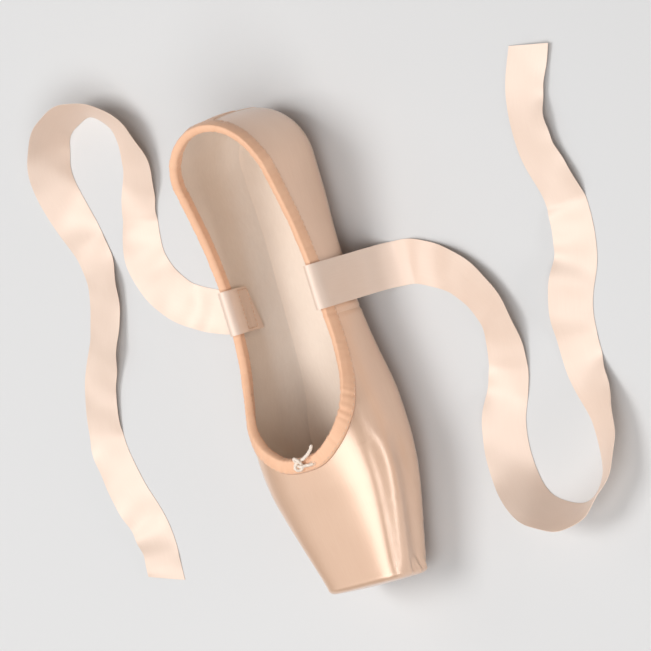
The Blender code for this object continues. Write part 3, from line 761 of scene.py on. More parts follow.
def make_ribbon(name, ways, side, seed):
    """Satin tape along its route: a slight cup across it, a ripple along its edges, and slanting ends."""
    route, run = rounded_route(ways)
    centres = [Vector(row[:3]) for row in route]
    across = Vector((1.0, 0.0, 0.0))
    shares = np.linspace(-1, 1, RIBBON_LANES + 1)
    loose = ramp_at(run, LOOSE_START, LOOSE_FULL)
    waves = [ripple(run, RIBBON_WAVE, seed + k) * RIBBON_WAVE_HEIGHT * loose for k in range(2)]
    points, cloth, path, frames = [], [], [], []
    for i, centre in enumerate(centres):
        ahead = (centres[min(i + 1, len(centres) - 1)] - centres[max(i - 1, 0)]).normalized()
        across = (across - ahead * across.dot(ahead)).normalized()
        face = ahead.cross(across)
        roll = math.radians(route[i][3])
        wide = across * math.cos(roll) + face * math.sin(roll)
        thick = ahead.cross(wide).normalized()
        frames.append(np.array([centre, ahead, wide, thick]) * (1, side, 1))
        to_end = min(i, len(centres) - 1 - i) * RIBBON_STEP
        slant = (-1 if i < len(centres) / 2 else 1) * RIBBON_SLANT / 2 * max(1 - to_end / SLANT_RUN, 0.0)
        lanes = []
        for face_side in (1, -1):
            for share in shares if face_side == 1 else shares[::-1]:
                rise = waves[0][i] * max(share, 0) ** 2 + waves[1][i] * max(-share, 0) ** 2
                half = RIBBON_SHEET / 2 * (1.0 if abs(share) < RIBBON_EDGE_SHARE else RIBBON_EDGE_THINNING)
                place = centre + wide * share * RIBBON_WIDTH / 2 + thick * (rise + half * face_side)
                lanes.append(place + ahead * slant * share)
                shift = BACK_FACE_SHIFT if face_side < 0 else 0.0
                cloth.append((run[i], share * RIBBON_WIDTH / 2 + shift, 0.0))
        lowest = min(place.z for place in lanes)
        raised = Vector((0.0, 0.0, max(GAP / 3 - lowest, 0.0)))
        points += [place + raised for place in lanes]
        path.append(centre + raised)
    points = np.array(points) * (1, side, 1)
    faces = tube_faces(len(centres), 2 * len(shares))
    piece = make_piece(name + "_satin", points, faces, [ribbon_satin], cloth, sharp=60.0)
    add_uv(piece)
    path = [(point.x * MM, point.y * side * MM, point.z * MM) for point in path]
    keep(piece, "ribbon_satin", name)
    sew_ribbon(name, np.array(frames))


def sew_ribbon(name, frames):
    """The box of stitches that holds the ribbon's end inside the quarter."""
    low, high, half = SEWN_LOW, SEWN_HIGH, RIBBON_WIDTH / 2 - SEWN_MARGIN
    corners = np.array([(low, -half), (low, half), (high, half), (high, -half), (low, -half)])
    middles, ways, outs = [], [], []
    for start, end in zip(corners[:-1], corners[1:]):
        count = round(np.linalg.norm(end - start) / SEWN_PITCH)
        for share in (np.arange(count) + 0.5) / count:
            run, aside = start + (end - start) * share
            centre, ahead, wide, thick = frames[round(run / RIBBON_STEP)]
            centre = centre + ahead * (run - round(run / RIBBON_STEP) * RIBBON_STEP)
            inward = thick * -np.sign(thick[1] * centre[1])
            middles.append(centre + wide * aside + inward * RIBBON_THICKNESS / 2)
            ways.append(ahead * (end - start)[0] + wide * (end - start)[1])
            outs.append(inward)
    make_stitches(name + "_stitches", middles, ways, outs, RIBBON_STITCH, "ribbon_satin")


make_ribbon("ribbon_left", RIBBON_START + RIBBON_LEFT, 1, 3)
make_ribbon("ribbon_right", RIBBON_START + RIBBON_RIGHT, -1, 8)


# Drawstring

KNOT_POINTS = 110
IN_CASING = End(4.5, 0.5, -1.35)
BUTTONHOLE = End(4.3, 0.45, 0.0)
BUTTONHOLE_LONG = 1.75
BUTTONHOLE_WIDE = 1.0
BUTTONHOLE_STITCHES = 26
BUTTONHOLE_STITCH = Stitch(1.05, 0.42, 0.3)
SLIT_SHARE = 0.86
SLIT_LIFT = 0.1
SLIT_MIDDLE_LIFT = 0.13
CORD_STEP = 0.25
CORD_SIDES = 18
CORD_PLIES = 3
CORD_LAY = 3.2
CORD_TWIST = 4 * math.pi / CORD_PLIES / CORD_LAY
CORD_RELIEF = 0.09
CORD_TIP = 0.35
CORD_TIP_GROWTH = 0.25


def knot_rows():
    """The drawstring's middle line as rows from the base: out of the casing, an overhand knot, a free end."""
    knot = []
    for t in np.linspace(math.pi + KNOT_OPENS, 3 * math.pi - KNOT_OPENS, KNOT_POINTS):
        one = (2 * math.cos(2 * t) - math.cos(t)) * KNOT_SCALE
        two = (math.sin(t) + 2 * math.sin(2 * t)) * KNOT_SCALE
        knot.append(End(one, two, KNOT_LIFT * (1 - math.sin(3 * t))))
    casing = (IN_CASING, *CASING_END)
    line = [End(knot[0].aside + row.aside, knot[0].ahead + row.ahead, row.up) for row in casing]
    line += knot
    return line + [End(knot[-1].aside + row.aside, knot[-1].ahead + row.ahead, row.up) for row in FREE_END]


def make_drawstring():
    """A cord of three plies along the knot's line, and the hole in the casing that it comes out of."""
    u = THROAT_RUN + KNOT_AHEAD
    before, base, after = last_points(np.array([u - 1, u, u + 1]), math.pi)
    ahead = (after - before) / np.linalg.norm(after - before)
    aside = np.array((0.0, 1.0, 0.0))
    up = np.cross(ahead, aside)
    tape_face = base + up * (GAP + BINDING_TAPE + BINDING_SWELL)
    base = tape_face + up * (GAP + CORD_DIAMETER / 2)
    rows = np.array(knot_rows())
    line = base + rows[:, :1] * aside + rows[:, 1:2] * ahead + rows[:, 2:] * up
    run = runs_of(line)
    places = np.arange(0, run[-1], CORD_STEP)
    line = np.array([np.interp(places, run, column) for column in line.T]).T
    points, cloth = [], []
    wide = np.cross(line[1] - line[0], up)
    for i, centre in enumerate(line):
        step = line[min(i + 1, len(line) - 1)] - line[max(i - 1, 0)]
        step = step / np.linalg.norm(step)
        wide = wide - step * (wide @ step)
        wide = wide / np.linalg.norm(wide)
        tall = np.cross(step, wide)
        tip = min(1.0, CORD_TIP + (len(line) - 1 - i) * CORD_TIP_GROWTH)
        for turn in np.linspace(0, 2 * math.pi, CORD_SIDES, endpoint=False):
            ply = abs(math.cos(CORD_PLIES / 2 * (turn - places[i] * CORD_TWIST)))
            radius = (CORD_DIAMETER / 2 - CORD_RELIEF + CORD_RELIEF * 2 * ply) * tip
            points.append(centre + (wide * math.cos(turn) + tall * math.sin(turn)) * radius)
            cloth.append((places[i], turn, 0.0))
    faces = tube_faces(len(line), CORD_SIDES)
    piece = make_piece("drawstring_cord", points, faces, [string_cotton], cloth, sharp=70.0)
    keep(piece, "drawstring_cotton", "drawstring")
    place = rows[1] + np.array(BUTTONHOLE) - np.array(CASING_END[0])
    make_buttonhole(tape_face + place[0] * aside + place[1] * ahead, aside, ahead, up)


def make_buttonhole(middle, aside, ahead, up):
    """The opening in the casing: a ring of overcast stitches round a near-black disc, painted shade for the
    dark inside of the slit.
    """
    turns = np.linspace(0, 2 * math.pi, BUTTONHOLE_STITCHES, endpoint=False)
    rim = np.outer(np.cos(turns) * BUTTONHOLE_LONG, aside) + np.outer(np.sin(turns) * BUTTONHOLE_WIDE, ahead)
    ways = np.outer(np.cos(turns) * BUTTONHOLE_WIDE, aside) + np.outer(np.sin(turns) * BUTTONHOLE_LONG, ahead)
    outs = np.repeat(up[None], len(turns), axis=0)
    make_stitches("buttonhole_stitches", middle + rim, ways, outs, BUTTONHOLE_STITCH, "binding_tape")
    # The slit is a flat disc in the near-black finish: painted shade, not a real hole
    disc = middle + rim * SLIT_SHARE + up * SLIT_LIFT
    points = np.concatenate([[middle + up * SLIT_MIDDLE_LIFT], disc])
    faces = [(0, k + 1, (k + 1) % len(disc) + 1) for k in range(len(disc))]
    keep(make_piece("buttonhole_shade_disc", points, faces, [hole_shade]), "binding_tape")


make_drawstring()


# Upper: satin outside, cotton lining inside

RIB_STEP = 1.5
FINE_RIB_STEP = 1.0
THROAT_ZONE = 14.0
OPENING_ZONE = 12.0
SATIN_ROWS = 104
LINING_ROWS = 34
ROWS_UNDER_SOLE = 1 / 13
BESIDE_OPENING = 8.0
UNDER_TOE_WEIGHT = 1.5
UNDER_TOE_ZONE = (70.0, 92.0)
UNDER_TOE_BELOW = 0.35
VAMP_SAMPLES = 60
SATIN_SLOT, LINING_SLOT, TAPE_SLOT = range(3)

# Pleats under the toe: each runs in plan from the sole's edge to the platform's edge or the side
PLEAT_ZONE = (74.0, 78.0)
PLEAT_TOP = (21.0, 12.0)
PLEAT_GROWS = (-0.25, -0.05)
PLEAT_WEAKENS = (0.15, 1.0)
PLEAT_LOSS = 0.75
PLEAT_ENDS = (0.95, 1.12)
PLEAT_SHARPNESS = 0.55
PLEAT_ROLL = 0.55
PLEAT_ROLL_OFF = 1.5
Pleat = namedtuple("Pleat", "x y x_end y_end depth width")
PLEATS = (
    Pleat(93.5, 6.6, 118.0, 13.5, 0.85, 0.9),
    Pleat(92.5, 9.6, 117.0, 18.0, 0.45, 0.7),
    Pleat(90.5, 12.4, 114.0, 22.5, 0.60, 0.8),
    Pleat(87.0, 15.4, 107.0, 26.0, 0.50, 0.8),
    Pleat(82.5, 18.0, 99.0, 28.5, 0.42, 0.8),
    Pleat(76.5, 20.4, 90.0, 31.0, 0.32, 0.8),
    Pleat(93.5, -6.0, 118.0, -12.0, 0.80, 0.9),
    Pleat(93.0, -8.4, 117.5, -16.0, 0.55, 0.7),
    Pleat(91.0, -11.6, 115.0, -20.5, 0.55, 0.8),
    Pleat(88.0, -14.6, 109.0, -25.0, 0.55, 0.8),
    Pleat(83.0, -17.8, 101.0, -28.0, 0.40, 0.8),
    Pleat(78.0, -20.0, 92.0, -31.0, 0.34, 0.8),
)

# Drag lines and small gathers: each runs on one side from (run, girth above the sole) to another such place
DRAG_GROWS = (-0.3, 0.0)
DRAG_ENDS = (0.1, 1.0)
DRAG_ROLL = 0.5
DRAG_ROLL_OFF = 2.0
DRAG_ROLL_WIDTH = 1.4
Drag = namedtuple("Drag", "side run up run_end up_end depth width")
DRAGS = (
    Drag(1, 88.0, 2.0, 94.0, 15.0, 0.30, 1.3),
    Drag(1, 97.0, 2.0, 100.0, 12.0, 0.24, 1.2),
    Drag(1, 107.0, 2.0, 107.0, 16.0, 0.30, 1.3),
    Drag(-1, 91.0, 2.0, 96.0, 14.0, 0.28, 1.3),
    Drag(-1, 102.0, 2.0, 103.0, 16.0, 0.30, 1.3),
    Drag(-1, 112.0, 2.0, 111.0, 12.0, 0.24, 1.2),
    Drag(1, 12.0, 2.0, 8.0, 20.0, 0.28, 1.6),
    Drag(1, 24.0, 2.0, 20.0, 14.0, 0.24, 1.4),
    Drag(1, 38.0, 2.0, 36.0, 16.0, 0.26, 1.5),
    Drag(-1, 8.0, 2.0, 5.0, 17.0, 0.26, 1.5),
    Drag(-1, 19.0, 2.0, 15.0, 15.0, 0.26, 1.5),
    Drag(-1, 33.0, 2.0, 30.0, 18.0, 0.26, 1.5),
)
PLEATS_START_BEHIND = 8.0

# Tucks at the platform's corners, on one side from one place along and up to another
TUCK_GROWS = (0.0, 0.6)
TUCK_ENDS = (0.9, 1.15)
TUCK_ROLL = 0.8
TUCK_ROLL_OFF = 1.4
Tuck = namedtuple("Tuck", "side x z x_end z_end depth width")
TUCKS = (
    Tuck(1, 108.0, 22.5, 117.6, 17.0, 0.85, 1.1),
    Tuck(1, 110.5, 15.0, 118.0, 10.8, 0.70, 1.0),
    Tuck(1, 107.0, 29.0, 116.8, 25.0, 0.60, 1.2),
    Tuck(-1, 110.5, 18.5, 117.8, 14.0, 0.30, 0.8),
    Tuck(-1, 109.0, 25.0, 117.0, 21.5, 0.24, 0.9),
)

# Folds along the box: how far above the shoulder's line each lies, and how far it stands out
Fold = namedtuple("Fold", "above height width")
FOLDS_START = (40.0, 62.0)
FOLDS_END = (108.0, 119.0)
SHOULDER_TOP = 44.0
SHOULDER_FALL = 0.13
SHOULDER_FOLDS = (
    Fold(0.0, -0.55, 2.4),
    Fold(-6.6, 0.8, 3.2),
    Fold(-15.0, -1.15, 4.8),
    Fold(-27.0, 0.35, 4.0),
)

SIDE_SEAM = -12.0
SEAM_DEPTH = 0.38
SEAM_WIDTH = 0.5
WELT_HEIGHT = 0.16
WELT_OFF = 1.3
WELT_WIDTH = 0.8

# Unevenness of the cloth: quick and slow waves, calmer past the zone where the box stiffens it
STIFFENING_ZONE = (15.0, 55.0)
STIFFENING = 0.75
QUICK_WAVES = 0.10
SLOW_WAVES = 0.22

# Strip of satin over the back seam, and the tab of tape at its top
STRIP_HALF = 6.3
STRIP_RISE = 0.3
TAB_LOW = 31.0
TAB_RISE = 0.25
OVERLAY_EDGE = 0.35


def upper_places():
    """Values of u for the satin's ribs, closer together towards the throat and the toe."""
    to_u = HEEL_ARC - HEEL_CENTRE
    opening_end = SOLE_TOE_END - SOLE_LAP
    near_throat = THROAT - THROAT_ZONE * (1 - np.linspace(0, 1, 17)[1:]) ** 2
    near_end = opening_end - OPENING_ZONE * (1 - np.linspace(0, 1, 21)[1:]) ** 1.6
    return np.concatenate(
        [
            np.linspace(0, STRIP_HALF - 0.6, 5),
            STRIP_HALF + np.array([-0.25, 0.0, 0.25, 0.6]),
            np.linspace(STRIP_HALF + 1.4, HEEL_ARC, 30),
            np.arange(HEEL_CENTRE + RIB_STEP, SIDE_SEAM, RIB_STEP) + to_u,
            SIDE_SEAM + np.array([-0.03, 0.03]) + to_u,
            np.arange(SIDE_SEAM + RIB_STEP, THROAT - THROAT_ZONE, RIB_STEP) + to_u,
            near_throat + to_u,
            np.arange(THROAT + FINE_RIB_STEP, opening_end - OPENING_ZONE, FINE_RIB_STEP) + to_u,
            near_end + to_u,
            np.linspace(opening_end, BOX_END, 36)[1:] + to_u,
            BOX_END_RUN + EDGE_ARC * np.linspace(0, 1, 11)[1:],
            BOX_END_RUN + EDGE_ARC + FACE_RUN * np.linspace(0, 1, 15)[1:],
        ]
    )


def upper_turns(places, rows):
    """Thetas along each rib: a few rows beside the opening, and the rest evenly spread up to the collar.

    They are closer together under the toe, where the pleats are.
    """
    turns = []
    low_rows = round(rows * ROWS_UNDER_SOLE)
    for u in places:
        start, beside = float(opening_turn(u)), float(opening_turn(u, BESIDE_OPENING))
        fine = np.linspace(beside, float(collar_turn(u)), 160)
        points = last_points(u, fine)
        under_toe = ramp_at(place_of(u)[0], *UNDER_TOE_ZONE) * (np.cos(fine) > UNDER_TOE_BELOW)
        weight = 1 + UNDER_TOE_WEIGHT * (under_toe[1:] + under_toe[:-1]) / 2
        run = runs_of(points, weight)
        if run[-1] == 0:
            run = fine - beside
        above = np.interp(np.linspace(0, run[-1], rows + 1 - low_rows), run, fine)
        turns.append(np.concatenate([np.linspace(start, beside, low_rows, endpoint=False), above]))
    return np.array(turns)


def girths_of(skin, turns, places):
    """How far each point of a skin's grid is up its rib: from its lower end, and from a straight thread.

    The straight threads are the vamp's middle line, and behind the side seam the widest line.
    """
    steps = np.linalg.norm(np.diff(skin, axis=1), axis=2)
    girth = np.concatenate([np.zeros((len(skin), 1)), np.cumsum(steps, axis=1)], axis=1)
    straight = []
    for u, turn, run in zip(places, turns, girth):
        above_collar = np.linspace(turn[-1], math.pi, VAMP_SAMPLES)
        rest = np.linalg.norm(np.diff(last_points(u, above_collar), axis=0), axis=1).sum()
        vamp = place_of(u)[0] > SIDE_SEAM
        straight.append(run[-1] + rest if vamp else np.interp(math.pi / 2, turn, run))
    return girth, girth - np.array(straight)[:, None]


def along_and_off(places, start, end):
    """Each place's share of the way from start to end, and how far it is to the left of that way."""
    start, way = np.array(start), np.array(end) - start
    length = np.linalg.norm(way)
    return (places - start) @ way / length**2, (places - start) @ np.array((-way[1], way[0])) / length


def pleat_relief(points):
    """Creases that fan out from the sole's toe end: a sharp valley, and a roll of satin beside it."""
    under = ramp_at(points[:, 2], *PLEAT_TOP) * ramp_at(points[:, 0], *PLEAT_ZONE)
    total = np.zeros(len(points))
    for pleat in PLEATS:
        along, off = along_and_off(points[:, :2], (pleat.x, pleat.y), (pleat.x_end, pleat.y_end))
        off = off * np.sign(pleat.y)
        fade = between(along, PLEAT_GROWS, PLEAT_ENDS) * (1 - PLEAT_LOSS * ramp_at(along, *PLEAT_WEAKENS))
        valley = np.exp(-np.abs(off) / (pleat.width * PLEAT_SHARPNESS))
        roll = bump_at(off - pleat.width * PLEAT_ROLL_OFF, pleat.width)
        total += pleat.depth * fade * (PLEAT_ROLL * roll - valley)
    return total * under


def drag_relief(runs, ups, side):
    """Soft troughs of the quarters, which start at the sole's edge and fade up the side."""
    places = np.stack([runs, ups], axis=1)
    total = np.zeros(len(places))
    for drag in (drag for drag in DRAGS if drag.side == side):
        along, off = along_and_off(places, (drag.run, drag.up), (drag.run_end, drag.up_end))
        roll = DRAG_ROLL * bump_at(off - DRAG_ROLL_OFF, DRAG_ROLL_WIDTH)
        total += drag.depth * between(along, DRAG_GROWS, DRAG_ENDS) * (roll - bump_at(off, drag.width))
    return total


def tuck_relief(points):
    """Short tucks where the satin turns over the platform's corners."""
    total = np.zeros(len(points))
    for tuck in TUCKS:
        along, off = along_and_off(points[:, [0, 2]], (tuck.x, tuck.z), (tuck.x_end, tuck.z_end))
        roll = TUCK_ROLL * bump_at(off - tuck.width * TUCK_ROLL_OFF, tuck.width)
        crease = between(along, TUCK_GROWS, TUCK_ENDS) * (roll - bump_at(off, tuck.width))
        total += tuck.depth * crease * (points[:, 1] * tuck.side > BESIDE_OPENING)
    return total


def seam_relief(points):
    """Side seams: a narrow trough between two low welts."""
    off = points[:, 0] - SIDE_SEAM
    welts = WELT_HEIGHT * bump_at(np.abs(off) - WELT_OFF, WELT_WIDTH)
    return welts - SEAM_DEPTH * bump_at(off, SEAM_WIDTH)


def heel_relief(points, runs):
    """The strip that covers the back seam from the collar to the sole, and the tab at its top."""
    strip = 1 - ramp_at(runs, STRIP_HALF - OVERLAY_EDGE, STRIP_HALF + OVERLAY_EDGE)
    tab = ramp_at(points[:, 2], TAB_LOW - OVERLAY_EDGE, TAB_LOW + OVERLAY_EDGE)
    trough = WELT_HEIGHT * bump_at(runs - STRIP_HALF - 2 * OVERLAY_EDGE, 2 * OVERLAY_EDGE)
    return strip * (STRIP_RISE + TAB_RISE * tab) - trough


def box_relief(points):
    """The folds along the box's shoulder, from the throat to the platform."""
    x, y, z = points.T
    above = z - SHOULDER_TOP + SHOULDER_FALL * (x - THROAT)
    folds = sum(fold.height * bump_at(above - fold.above, fold.width) for fold in SHOULDER_FOLDS)
    return between(x, FOLDS_START, FOLDS_END) * folds


def cloth_ripple(points):
    """Slight unevenness of soft cloth, less over the stiff box."""
    x, y, z = points.T
    soft = 1 - STIFFENING * ramp_at(x, *STIFFENING_ZONE)
    waves = np.sin(x / 11.3 + 0.7 * np.sin(z / 9.0)) * np.sin(z / 8.1 + y / 19.0 + 1.3)
    slow = np.sin(x / 27.0 + y / 31.0 + 0.4) * np.sin(z / 15.0 + x / 43.0)
    return soft * (QUICK_WAVES * waves + SLOW_WAVES * slow)


def satin_relief(points, runs, ups, side):
    """All that the satin does on top of the last: creases, pleats and seams, and none at the sole's edge."""
    height = pleat_relief(points) + drag_relief(runs, ups, side) + seam_relief(points)
    height += tuck_relief(points) + heel_relief(points, runs) + box_relief(points) + cloth_ripple(points)
    behind_toe = points[:, 0] < SOLE_TOE_END - PLEATS_START_BEHIND
    return np.where(behind_toe, height * ramp_at(ups, 0.0, 2.0), height)


def make_upper():
    """Satin outside, lining inside, and the rims between them at the collar and under the foot."""
    places = upper_places()
    points, faces, cloth, slots, relief, skins = [], [], [], [], [], []
    count = 0
    on_strip = (places[:-1] + places[1:])[:, None] / 2 < STRIP_HALF
    for inner, rows in ((False, SATIN_ROWS), (True, LINING_ROWS)):
        turns = upper_turns(places, rows)
        inset = wall_at(place_of(places)[0])[:, None] if inner else 0.0
        skin = last_points(places[:, None], turns, inset)
        ups, girth = girths_of(skin, turns, places)
        runs = np.repeat(places[:, None], rows + 1, axis=1)
        skins.append((skin, turns))
        on_tab = on_strip & (skin[:-1, :-1, 2] > TAB_LOW)
        slot = np.full(on_tab.shape, LINING_SLOT) if inner else np.where(on_tab, TAPE_SLOT, SATIN_SLOT)
        for side in (1, -1):
            half = skin.reshape(-1, 3) * (1, side, 1)
            faces.append(grid_faces(count, len(places), rows + 1))
            slots.append(slot.ravel())
            points.append(half)
            cloth.append(np.stack([runs.ravel(), girth.ravel(), np.full(girth.size, side)], axis=1))
            flat = np.zeros(len(half))
            relief.append(flat if inner else satin_relief(half, runs.ravel(), ups.ravel(), side))
            count += len(half)
    (outer, outer_turns), (inner, _) = skins
    for side in (1, -1):
        for row, closed_at in ((0, 0.0), (-1, math.pi)):
            open_here = np.abs(outer_turns[:, row] - closed_at) > 1e-9
            i = np.nonzero(open_here[:-1] | open_here[1:])[0]
            rim = np.stack([outer[i, row], outer[i + 1, row], inner[i + 1, row], inner[i, row]], axis=1)
            faces.append(count + np.arange(len(i) * 4).reshape(-1, 4))
            slots.append(np.full(len(i), LINING_SLOT))
            points.append(rim.reshape(-1, 3) * (1, side, 1))
            cloth.append(np.zeros((len(i) * 4, 3)))
            relief.append(np.zeros(len(i) * 4))
            count += len(i) * 4
    piece = make_piece(
        "upper_satin",
        np.concatenate(points),
        np.concatenate(faces),
        [satin, lining, tape],
        np.concatenate(cloth),
        np.concatenate(slots),
        np.concatenate(relief),
        sharp=70.0,
    )
    lift_by_relief(piece)
    add_uv(piece)
    keep(piece, "satin", "upper")


make_upper()


# Binding: tape folded over the collar, drawn up by the string

BINDING_RUN_STEP = 0.8
GATHER_HEIGHT = 0.2
GATHER_LENGTH = 2.6
GATHER_SLANT = 0.25
GATHER_SEED = 20
EVEN_GATHER = 0.4
SOFT_GATHER = 0.08
SOFT_GATHER_LENGTH = 9.1
GATHERS_GROW_BEFORE = 60.0
GATHERS_FULL_BEFORE = 8.0
END_BLEND = 7.0
TAPE_ACROSS = 16.0
INNER_HEM_ACROSS = 9.6
CREST_POINTS = 9
SIDE_POINTS = 8
HEM_EASE = 0.9
HEM_EDGE = 0.05
CASING_SWELL = 0.35
CASING_DOWN = 2.6
CASING_HALF = 1.5
TAPE_BACK_MARGIN = 0.5
TAPE_BACK_SINK = 0.2
STITCH_PITCH = 2.5
STITCH_FROM_HEM = 1.3
HEM_STITCH = Stitch(1.6, 0.42, 0.24)
COLLAR_END_ZONE = 8.0


def collar_places():
    """Values of u along the collar from the back seam to the throat, evenly spread on its edge."""
    near_throat = THROAT_RUN - COLLAR_END_ZONE * np.linspace(1, 0, 200)[1:] ** 2
    fine = np.concatenate([np.linspace(0, THROAT_RUN - COLLAR_END_ZONE, 600), near_throat])
    edge = last_points(fine, collar_turn(fine))
    run = runs_of(edge)
    to_centre = abs(edge[-1][1])
    run[-1] += to_centre
    places = np.linspace(0, run[-1], round(run[-1] / BINDING_RUN_STEP) + 1)
    return np.interp(places, run, fine), places


def collar_frame(u):
    """At rib u: the way away from the edge down the wall, as (run, turn) per millimetre, and as a vector."""
    theta = float(collar_turn(u))
    along = last_points(u + STEP, collar_turn(u + STEP)) - last_points(u - STEP, collar_turn(u - STEP))
    if u >= THROAT_RUN - 1e-6:
        along = np.array((0.0, -1.0, 0.0))
    by_u = (last_points(u + STEP, theta) - last_points(u - STEP, theta)) / (2 * STEP)
    by_turn = (last_points(u, theta + TURN) - last_points(u, theta - TURN)) / (2 * TURN)
    away = np.cross(np.cross(by_turn, by_u), along)
    away = away / np.linalg.norm(away)
    down_wall, *_ = np.linalg.lstsq(np.array([by_u, by_turn]).T, away, rcond=None)
    return theta, away, down_wall


def wall_point(u, theta, down_wall, down, inset):
    """Points down the wall from the collar's edge, and the outward normals there."""
    place, angle = u + down_wall[0] * down, theta + down_wall[1] * down
    east = last_points(place + STEP, angle, inset) - last_points(place - STEP, angle, inset)
    north = last_points(place, angle + TURN, inset) - last_points(place, angle - TURN, inset)
    outward = np.cross(north, east)
    outward = outward / np.linalg.norm(outward, axis=-1, keepdims=True)
    return last_points(place, angle, inset), outward


def binding_section(u):
    """The tape's outline at rib u as points, their outward ways, and their places across the tape."""
    theta, away, down_wall = collar_frame(u)
    wall = float(wall_at(place_of(u)[0]))
    full = GAP + BINDING_TAPE
    down = np.linspace(BINDING_DEPTH, -GAP, SIDE_POINTS)
    hem = ramp_at(BINDING_DEPTH - down, 0.0, HEM_EASE)
    cord_swell = CASING_SWELL * bump_at(down - CASING_DOWN, CASING_HALF)
    outer, out_way = wall_point(u, theta, down_wall, down, 0.0)
    outer = outer + out_way * (HEM_EDGE + (full - HEM_EDGE) * hem + cord_swell)[:, None]
    inner_down = np.linspace(-GAP, BINDING_INSIDE_DEPTH, SIDE_POINTS)
    inner_hem = ramp_at(BINDING_INSIDE_DEPTH - inner_down, 0.0, HEM_EASE)
    inner, in_way = wall_point(u, theta, down_wall, inner_down, wall)
    inner = inner - in_way * (HEM_EDGE + (full - HEM_EDGE) * inner_hem)[:, None]
    turns = np.linspace(0, math.pi, CREST_POINTS)[1:-1]
    middle = (outer[-1] + inner[0]) / 2
    half = (outer[-1] - inner[0]) / 2
    crest = middle + np.outer(np.cos(turns), half) - np.outer(np.sin(turns), away) * (full - GAP)
    crest_way = np.outer(np.cos(turns), half / np.linalg.norm(half)) - np.outer(np.sin(turns), away)
    margin = TAPE_BACK_MARGIN
    under, under_way = wall_point(u, theta, down_wall, np.array([margin, BINDING_DEPTH - margin]), 0.0)
    back, back_way = wall_point(u, theta, down_wall, np.array([BINDING_INSIDE_DEPTH - margin, margin]), wall)
    hidden = [back + back_way * TAPE_BACK_SINK, under - under_way * TAPE_BACK_SINK]
    points = np.concatenate([outer, crest, inner, *hidden])
    ways = np.concatenate([out_way, crest_way, -in_way, back_way, -under_way])
    shown = len(outer) + len(crest) + len(inner)
    weights = np.zeros(len(points))
    weights[:shown] = np.concatenate([hem, np.ones(len(crest)), inner_hem])
    return points, ways, weights


def gathers_at(run, length, across, side):
    """How far the drawn-up tape stands out, along the collar and across the tape."""
    near_throat = ramp_at(run, length - GATHERS_GROW_BEFORE, length - GATHERS_FULL_BEFORE)
    at_ends = 1 - ramp_at(run, 0.0, END_BLEND) * ramp_at(length - run, 0.0, END_BLEND)
    phase = run + GATHER_SLANT * across
    total = 0
    for share, seed in ((at_ends, GATHER_SEED), (1 - at_ends, GATHER_SEED + side)):
        folds = ripple(phase, GATHER_LENGTH, seed) * (EVEN_GATHER + (1 - EVEN_GATHER) * near_throat)
        soft = ripple(phase, SOFT_GATHER_LENGTH, seed + GATHER_SEED)
        total = total + share * (GATHER_HEIGHT * folds + SOFT_GATHER * soft)
    return total


def make_binding():
    """The tape as one tube of sections on each side, from the back seam to the throat."""
    us, run = collar_places()
    sections = [binding_section(u) for u in us]
    size = len(sections[0][0])
    across = np.linspace(0, TAPE_ACROSS, size)
    points, faces, cloth = [], [], []
    for side in (1, -1):
        faces.append(ring_faces(len(points) * len(us) * size, len(us), size))
        gathers = gathers_at(run[:, None], run[-1], across, side)
        moved = [
            section + ways * (weights * gathers[i])[:, None]
            for i, (section, ways, weights) in enumerate(sections)
        ]
        points.append(np.concatenate(moved) * (1, side, 1))
        runs = np.repeat(run, size)
        cloth.append(np.stack([runs, np.tile(across, len(us)), np.full(len(runs), side)], axis=1))
    piece = make_piece(
        "binding_gathered", np.concatenate(points), np.concatenate(faces), [tape], np.concatenate(cloth)
    )
    add_uv(piece)
    keep(piece, "binding_tape", "binding")


def sew_binding():
    """Running stitches above the tape's two hems, which make the drawstring's casing."""
    us, run = collar_places()
    places = np.arange(STITCH_PITCH / 2, run[-1], STITCH_PITCH)
    hems = (("outer", BINDING_DEPTH, False, 0.0), ("inner", BINDING_INSIDE_DEPTH, True, INNER_HEM_ACROSS))
    for name, down, inner, across in hems:
        walls, outs = [], []
        for u in np.interp(places, run, us):
            theta, _, down_wall = collar_frame(u)
            inset = float(wall_at(place_of(u)[0])) if inner else 0.0
            point, out = wall_point(u, theta, down_wall, np.array([down - STITCH_FROM_HEM]), inset)
            walls.append(point[0])
            outs.append(-out[0] if inner else out[0])
        walls, outs = np.array(walls), np.array(outs)
        middles, ways = [], []
        for side in (1, -1):
            stand = GAP + BINDING_TAPE + gathers_at(places, run[-1], across, side)
            half = walls + outs * stand[:, None]
            middles.append(half * (1, side, 1))
            ways.append(np.gradient(half, axis=0) * (1, side, 1))
        outs = np.concatenate([outs, outs * (1, -1, 1)])
        middles, ways = np.concatenate(middles), np.concatenate(ways)
        make_stitches("binding_stitches_" + name, middles, ways, outs, HEM_STITCH, "binding_tape")


make_binding()
sew_binding()


# Outsole and insole

HEEL_COLUMNS = 110
TREAD_COLUMNS = 290
TREAD_LANES = 150
PLAIN_LANES = 16
LANE_BUNCHING = 0.25
TREAD_BUNCHING = 0.3
TREAD_START = 14.0
HATCH_PITCH = 2.15
HATCH_GROOVE = 0.3
HATCH_DEPTH = 0.24
HATCH_MARGIN = 1.5
HATCH_FADE = (0.4, 0.9)
HORN_TIP = 18.0
HORN_ASIDE = 11.0
HORN_SLOPE = 0.9
BITE_CENTRE = 17.0
BITE_RADIUS = 9.0
INSOLE_COLUMNS = 104
INSOLE_LANES = 32
SOCK_RIPPLE = 0.12


def bunched(places, share):
    """Places from nought to one, or to minus one, moved a share of the way to lie closer at the ends."""
    return (1 - share) * places + share * np.sin(places * math.pi / 2)


